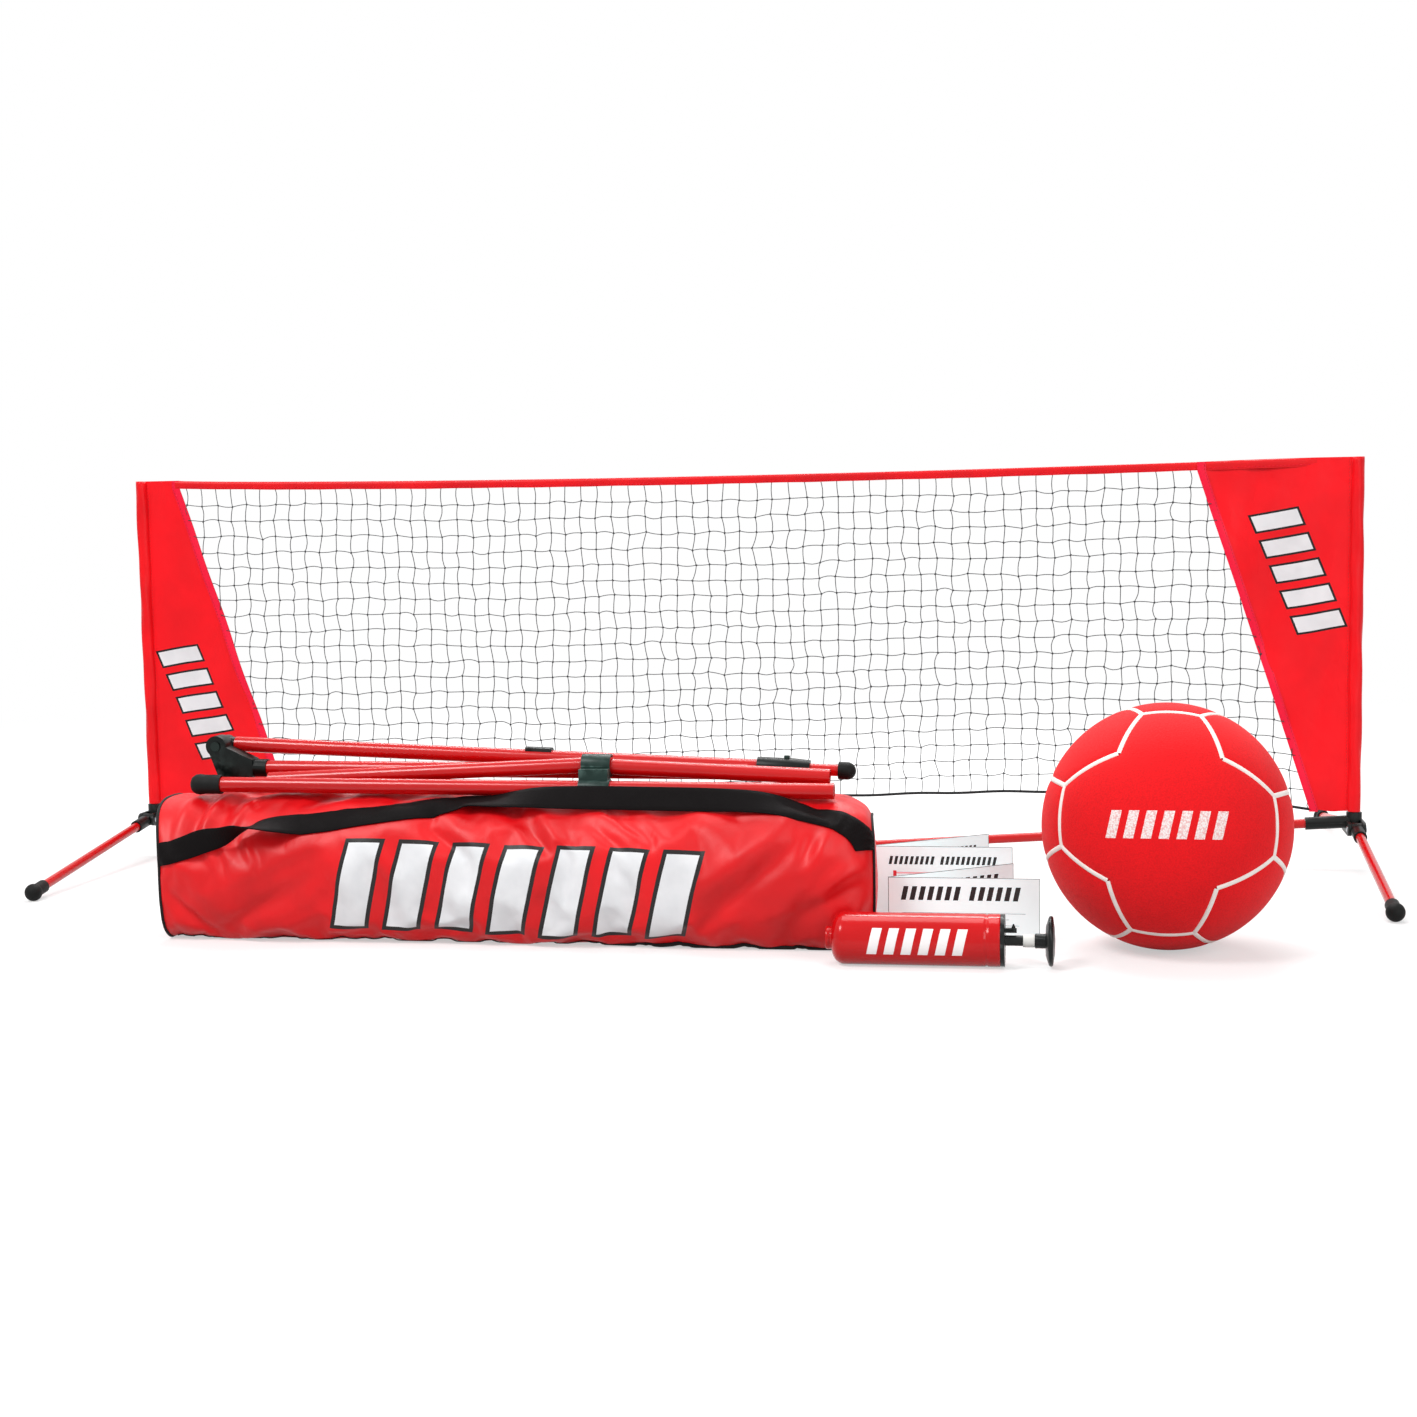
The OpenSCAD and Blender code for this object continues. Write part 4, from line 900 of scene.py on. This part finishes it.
# teeth: six-sided pegs 3 mm long lying across the gap, each side half a step from the other
nylon_teeth = moulding("acetal_teeth_black", "1B1C1D", "4A4C4E", 0.35, 0.00004)
step = 0.0025
at = np.arange(zip_lo[0] + 0.008, zip_hi[0] - 0.006, step)
pegs = []
for inward, v_root in ((1, ZIP_V - 0.0022), (-1, ZIP_V - GIRTH + 0.0022)):
    x = at + (0 if inward > 0 else step / 2)
    root = on_bag(x, np.full_like(x, v_root), np.full_like(x, 0.0014))
    lift = unit(on_bag(x, np.full_like(x, v_root), np.full_like(x, 0.0024)) - root)
    reach = np.cross(np.array([1.0, 0, 0]), lift) * inward
    k = np.linspace(0, 2 * np.pi, 6, endpoint=False)[:, None, None]
    d = np.array([0, 0.0024, 0.0030])[None, :, None]
    fat = np.array([1.0, 1.0, 0.7])[None, :, None]
    points = (root[:, None, None] + d * reach[:, None, None]
              + fat * (np.cos(k) * 0.00075 * np.array([1.0, 0, 0]) + np.sin(k) * 0.0007 * lift[:, None, None]))
    points = points.transpose(0, 2, 1, 3).reshape(-1, 3)
    first = np.arange(len(x))[:, None, None] * 18
    sides = grid(3, 6, False, True)[:, ::-inward]
    caps = np.array([[5, 4, 3, 2, 1, 0], [12, 13, 14, 15, 16, 17]])[:, ::-inward]
    pegs.append((points, [(sides + first).reshape(-1, 4), (caps + first).reshape(-1, 6)]))
piece("bag_zip_teeth", *joined(pegs), nylon_teeth, "black_tape", "bag")
die_cast = zinc_plate("die_cast_zinc", "A9ADB0", (1, 1, 1))
moulded("zip_slider", 0.0004, die_cast)


# ---------------------------------------------------------------- shoulder strap
# Black polypropylene webbing, 25 mm wide and 1.5 mm thick, sewn into both end seams. It
# lies on the front shoulder with one half turn in it, then stands on its edge against the
# front pole and falls over the bag's right corner.
strap_web = webbing("polypropylene_webbing_black", "050303", "100C0D", 0.0017, 0.0023)
# stops: x, angle on the bag, share off the cloth, and there y and z from the bag and tilt
route = np.array([
    (-503, 12, 0, -80, 93, 81), (-489, 14, 0, -79, 96, 80), (-470, 18, 0.7, -81, 100.5, 88),
    (-450, 22, 1, -83, 107, 100), (-430, 25, 1, -85, 112.5, 125), (-413, 28, 1, -83, 119.5, 155),
    (-396, 31, 1, -81, 122.5, 184), (-378, 34, 1, -74.5, 123.5, 207), (-358, 37, 0.7, -70, 124, 222),
    (-336, 40, 0, -65, 126, 232), (-292, 46, 0, -60, 131, 223), (-241, 52, 0, -54, 136, 216),
    (-218, 56, 0, -50, 139, 212), (-196, 60, 0.6, -46, 142.5, 205), (-178, 62, 1, -44, 144.6, 195),
    (-155, 62, 1, -47.5, 145.5, 198), (-131, 62, 1, -51, 148, 212), (-105, 62, 1, -50, 149.5, 228),
    (-75, 62, 1, -48.5, 149.5, 238), (-40, 62, 1, -48, 149.3, 242), (0, 62, 1, -47.5, 148.8, 243),
    (60, 60, 1, -47, 148, 242), (108, 58, 1, -48.5, 147, 232), (138, 56, 0.8, -50, 144, 222),
    (162, 54, 0.2, -51, 140.5, 218), (184, 50, 0, -54, 135, 216), (200, 44, 0, -60, 128, 216),
    (210, 37, 0, -64, 121, 216), (216, 30, 0, -68, 114, 216), (219, 24, 0, -70, 108, 216)])
knots = np.concatenate([[2 * route[0] - route[1]], route, [2 * route[-1] - route[-2]]])
s = np.linspace(0, 1, 14, endpoint=False)[:, None]
p0, p1, p2, p3 = (knots[k:len(knots) - 3 + k, None] for k in range(4))
way = 0.5 * (2 * p1 + (p2 - p0) * s + (2 * p0 - 5 * p1 + 4 * p2 - p3) * s**2 + (3 * p1 - p0 - 3 * p2 + p3) * s**3)
way = np.concatenate([way.reshape(-1, 6), route[-1:]])
x, v = way[:, 0] / 1000, bag_v_at(way[:, 1])
STRAP_W, STRAP_T = 0.025, 0.0015
there = np.array([-1, -0.995, -0.97, -0.6, -0.2, 0.2, 0.6, 0.97, 0.995, 1])
over = np.array([0, 0.6, 1, 1, 1, 1, 1, 1, 0.6, 0])
across = np.concatenate([there, there[-2:0:-1]]) * STRAP_W / 2
thick = np.concatenate([over, -over[-2:0:-1]]) * STRAP_T / 2
edges = len(across)
# laid on the cloth: across is square to the way on the flat cloth
flat_way = unit(np.stack([np.gradient(x), np.gradient(v)], 1))
turned_over = np.where(way[:, 5] > 160, -1, 1)[:, None]
laid_x = np.minimum(x[:, None] - flat_way[:, 1:] * across * turned_over, bag_hi[0] - 0.0005)
laid_v = v[:, None] + flat_way[:, :1] * across * turned_over
laid = on_bag(laid_x, laid_v, 0.0013 + thick * turned_over)
# standing free: across is the tilt made square to the way
spine = np.stack([x, BAG_Y + way[:, 3] / 1000, way[:, 4] / 1000], 1)
along = unit(np.gradient(spine, axis=0))
tilt = np.radians(way[:, 5])
width = np.stack([0 * tilt, np.cos(tilt), np.sin(tilt)], 1)
width = unit(width - along * (width * along).sum(1, keepdims=True))
face = np.cross(along, width)
standing = spine[:, None] + width[:, None] * across[:, None] + face[:, None] * thick[:, None]
share = np.clip(way[:, 2], 0, 1)[:, None, None]
share = share * share * (3 - 2 * share)
strap_lie = laid * (1 - share) + standing * share
run = np.cumsum(np.hypot(np.gradient(x), np.gradient(v)))[:, None]
start = np.arange(edges)[None]
strap = piece("shoulder_strap_webbing", strap_lie.reshape(-1, 3),
              [grid(len(way), edges, False, True)[:, ::-1], start, (len(way) - 1) * edges + start[:, ::-1]],
              strap_web, "black_tape", "bag", flat=np.stack(np.broadcast_arrays(run, across), -1).reshape(-1, 2))
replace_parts(strap, "shoulder_strap")


# ---------------------------------------------------------------- bundled poles
# Two spare poles of the same red tube, folded double on a knuckle that a blackened pin holds.
# A green-grey clip of sprung ABS grips the stack, and black rubber caps close its ends.
dress(red_coat, "bundle_poles")
green_black = moulding("abs_green_black", "040A08", "34403D", 0.36, 0.00006)
green_grey = moulding("abs_green_grey", "1A302B", "64807A", 0.34, 0.00006)
moulded("folding_knuckle", 0.0014, green_black)
moulded("pole_clip", 0.0012, green_grey)
moulded("pole_foot_cap", 0.0010, black_rubber)
dress(zinc_plate("black_oxide_steel", "2C3331", (1, 1, 1)), "knuckle_pin")


# ---------------------------------------------------------------- telescopic pole
# The pole that carries the net's height: a thin red tube slides in a wide one, held by a
# sprung button in a moulded collar. It is clipped to the stack by a lug on a nylon clip.
dress(red_coat, "telescopic_outer_tube", "telescopic_inner_tube")
moulded("telescopic_hinge_lug", 0.0008, green_black)
moulded("telescopic_collar", 0.0010, green_black)
moulded("telescopic_lock_button", 0.0006, green_grey)
moulded("telescopic_clip", 0.0008, black_nylon)
moulded("telescopic_end_cap", 0.0010, black_rubber)


# ---------------------------------------------------------------- leaflets
# Two leaflets of coated white card folded once down their left edge and stood up a little
# open. They are printed in dark grey and red; their titles are plain rows of bars.
LEAF_W, RULE = 0.15, 0.0006


def coated_card(name, high, title_at, size, words, blocks):
    """Satin coated card: a thin grey rule along its edges, words of (first step, bars) at
    the title's place, and blocks of ink, each (u0, u1, v0, v1, colour). Its white is
    painted cool against the pink that the red things round it cast on it, and it has a
    painted glow: it gives out its own colours at 0.2, so it reads lighter than its lamps
    make it."""
    m, t, spot, flat = bare(name)
    part = add(t, "SeparateXYZ", {0: flat})

    def box(u0, u1, v0, v1):
        """1 where u and v are both within their limits."""
        sides = [add(t, "Math", {0: part.outputs[k], 1: (a + b) / 2, 2: (b - a) / 2}, operation="COMPARE")
                 for k, a, b in ((0, u0, u1), (1, v0, v1))]
        return add(t, "Math", {0: sides[0], 1: sides[1]}, operation="MULTIPLY")

    fibre = add(t, "TexNoise", {"Vector": spot, "Scale": 500.0})
    # painted light: the white is tinted cool to cancel the pink light that the red things round the card cast on
    # it
    white = add(t, "Mix", {0: fibre, 6: linear("F0FDFE"), 7: linear("E9F7F8")}, data_type="RGBA")
    field = box(RULE, LEAF_W - RULE, RULE, high - RULE)
    tone = add(t, "Mix", {0: field, 6: linear("7C7C7C"), 7: white}, data_type="RGBA")
    for first, bars in words:
        at = (-title_at[0] - first * STEP * size, -title_at[1], 0)
        place = add(t, "Mapping", {"Vector": flat, "Location": at})
        tone = add(t, "Mix", {0: slanted_bars(t, place, size, bars), 6: tone, 7: linear("171717")},
                   data_type="RGBA")
    for *edges, ink in blocks:
        tone = add(t, "Mix", {0: box(*edges), 6: tone, 7: linear(ink)}, data_type="RGBA")
    lie = add(t, "Bump", {"Height": add(t, "TexNoise", {"Vector": spot, "Scale": 30.0}), "Distance": 0.0010,
                          "Strength": 0.15})
    card = add(t, "BsdfPrincipled", {
        "Base Color": tone, "Roughness": add(t, "MapRange", {"Value": fibre, "To Min": 0.34, "To Max": 0.46}),
        "Specular IOR Level": 0.50, "Normal": lie,
        # painted glow: the card gives out its own colours at strength 0.2, lighter than its lamps make it
        "Emission Color": tone, "Emission Strength": 0.20,
    })
    add(t, "OutputMaterial", {"Surface": card})
    return m


def leaf(node, body, card, corner, high, angle, bow):
    """A card leaf 0.6 mm thick standing on its lower edge at the corner, turned by angle
    about its fold and bowed by bow (s / w) ** 2 towards its free edge, more at its top."""
    edge = np.array([0, 0.0003])
    s = np.concatenate([0.0004 + edge, np.linspace(0.003, LEAF_W - 0.003, 50), LEAF_W - edge[::-1]])[:, None]
    r = np.concatenate([edge, np.linspace(0.003, high - 0.003, 24), high - edge[::-1]])
    r = np.concatenate([r, r[::-1]])[None]
    y = np.where(np.arange(r.size) < r.size // 2, 0, 0.0006)[None] + (0.0005 if angle else -0.0007)
    y = y + bow * (s / LEAF_W) ** 2 * (0.5 + 0.5 * r / high)
    c, d = math.cos(math.radians(angle)), math.sin(math.radians(angle))
    points = np.stack([corner[0] + s * c - y * d, corner[1] + s * d + y * c, r + 0 * s], -1)
    j = np.arange(r.size // 2 - 1)
    cap = np.stack([j, j + 1, r.size - 2 - j, r.size - 1 - j], 1)
    flat = np.stack(np.broadcast_arrays(s, r), -1)
    obj = piece(node + "_card", points.reshape(-1, 3),
                [grid(s.size, r.size, False, True)[:, ::-1], cap, (cap + (s.size - 1) * r.size)[:, ::-1]],
                card, "white_card", body, flat=flat.reshape(-1, 2))
    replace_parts(obj, node)


rules_card = coated_card("coated_card_rules", 0.066, (0.012, 0.050), 0.0140, ((0, 7), (7.8, 6)),
                         ((0.014, 0.136, 0.030, 0.0306, "9A9A9A"), (0.014, 0.120, 0.024, 0.0246, "9A9A9A"),
                          (0.014, 0.130, 0.018, 0.0186, "9A9A9A"), (0.014, 0.104, 0.012, 0.0126, "9A9A9A")))
leaf("rules_front_leaf", "rules_leaflet", rules_card, (0.243, NET_Y - 0.478), 0.066, 0, -0.0012)
leaf("rules_back_leaf", "rules_back_page", rules_card, (0.243, NET_Y - 0.478), 0.066, 35, 0.0015)
guide_card = coated_card("coated_card_guide", 0.078, (0.020, 0.063), 0.0088, ((0, 9), (9.9, 11)),
                         ((0.025, 0.0286, 0.004, 0.052, "D62A33"), (0.0286, 0.131, 0.0487, 0.0505, "EFA9B0"),
                          (0.113, 0.131, 0.0475, 0.0522, "D62A33"), (0.040, 0.120, 0.036, 0.0366, "9A9A9A"),
                          (0.040, 0.108, 0.030, 0.0306, "9A9A9A"), (0.040, 0.116, 0.024, 0.0246, "9A9A9A")))
leaf("guide_front_leaf", "guide_leaflet", guide_card, (0.213, NET_Y - 0.360), 0.078, 0, -0.0012)
leaf("guide_back_leaf", "guide_back_page", guide_card, (0.213, NET_Y - 0.360), 0.078, 35, 0.0015)


# ---------------------------------------------------------------- studio
# A sweep of white paper under a white sky. Its glow and the sky's are for the eye and for
# reflections only; four soft lamps and a dimmer sky light the set.
def seen_plainly(tree):
    """1 on the rays that look at a thing: from the camera, a mirror or through glass."""
    rays = add(tree, "LightPath").outputs
    looked = add(tree, "Math", {0: rays["Is Camera Ray"], 1: rays["Is Glossy Ray"]}, operation="MAXIMUM")
    return add(tree, "Math", {0: looked, 1: rays["Is Transmission Ray"]}, operation="MAXIMUM")


floor = bpy.data.objects.new("studio_floor", bpy.data.meshes.new("studio_floor"))
bpy.context.scene.collection.objects.link(floor)
floor.data.from_pydata([(-40, -12, 0), (40, -12, 0), (40, 60, 0), (-40, 60, 0)], [], [(0, 1, 2, 3)])
paper, t, spot, _ = bare("paper_sweep_white")
away = add(t, "VectorMath", {0: spot}, operation="LENGTH").outputs["Value"]
fade = add(t, "MapRange", {"Value": away, "From Min": 1.0, "From Max": 2.6})
glow = add(t, "MapRange", {"Value": fade, "To Min": 0.50, "To Max": 1.0})
tone = add(t, "Mix", {0: fade, 6: linear("BCBCBC"), 7: (0, 0, 0, 1)}, data_type="RGBA")
sheet = add(t, "BsdfPrincipled", {
    "Base Color": tone, "Roughness": 0.9, "Specular IOR Level": 0.0, "Emission Color": (1, 1, 1, 1),
    "Emission Strength": add(t, "Math", {0: glow, 1: seen_plainly(t)}, operation="MULTIPLY"),
})
add(t, "OutputMaterial", {"Surface": sheet})
floor.data.materials.append(paper)

world = bpy.data.worlds.new("studio")
bpy.context.scene.world = world
world.use_nodes = True
t = world.node_tree
t.nodes.clear()
bright = add(t, "MapRange", {"Value": seen_plainly(t), "To Min": 0.46, "To Max": 1.0})
sky = add(t, "Background", {"Color": (1, 1, 1, 1), "Strength": bright})
add(t, "OutputWorld", {"Surface": sky})

# each lamp: its name, its place, its two sizes in metres and its power in watts
for name, place, size, long, power in (
        ("key", (-1.7, -2.3, 3.0), 1.2, 1.2, 88), ("fill", (2.2, -2.4, 1.4), 1.6, 1.6, 34),
        ("top", (0.1, 0.3, 2.8), 1.5, 1.3, 26), ("strip", (0.0, 1.2, 2.0), 2.4, 0.30, 42)):
    lamp = bpy.data.objects.new(name, bpy.data.lights.new(name, "AREA"))
    lamp.data.shape, lamp.data.size, lamp.data.size_y, lamp.data.energy = "RECTANGLE", size, long, power
    lamp.location = place
    lamp.rotation_euler = (Vector((0, -0.1, 0.1)) - Vector(place)).to_track_quat("-Z", "Y").to_euler()
    bpy.context.scene.collection.objects.link(lamp)
bpy.context.scene.view_settings.view_transform = "Standard"
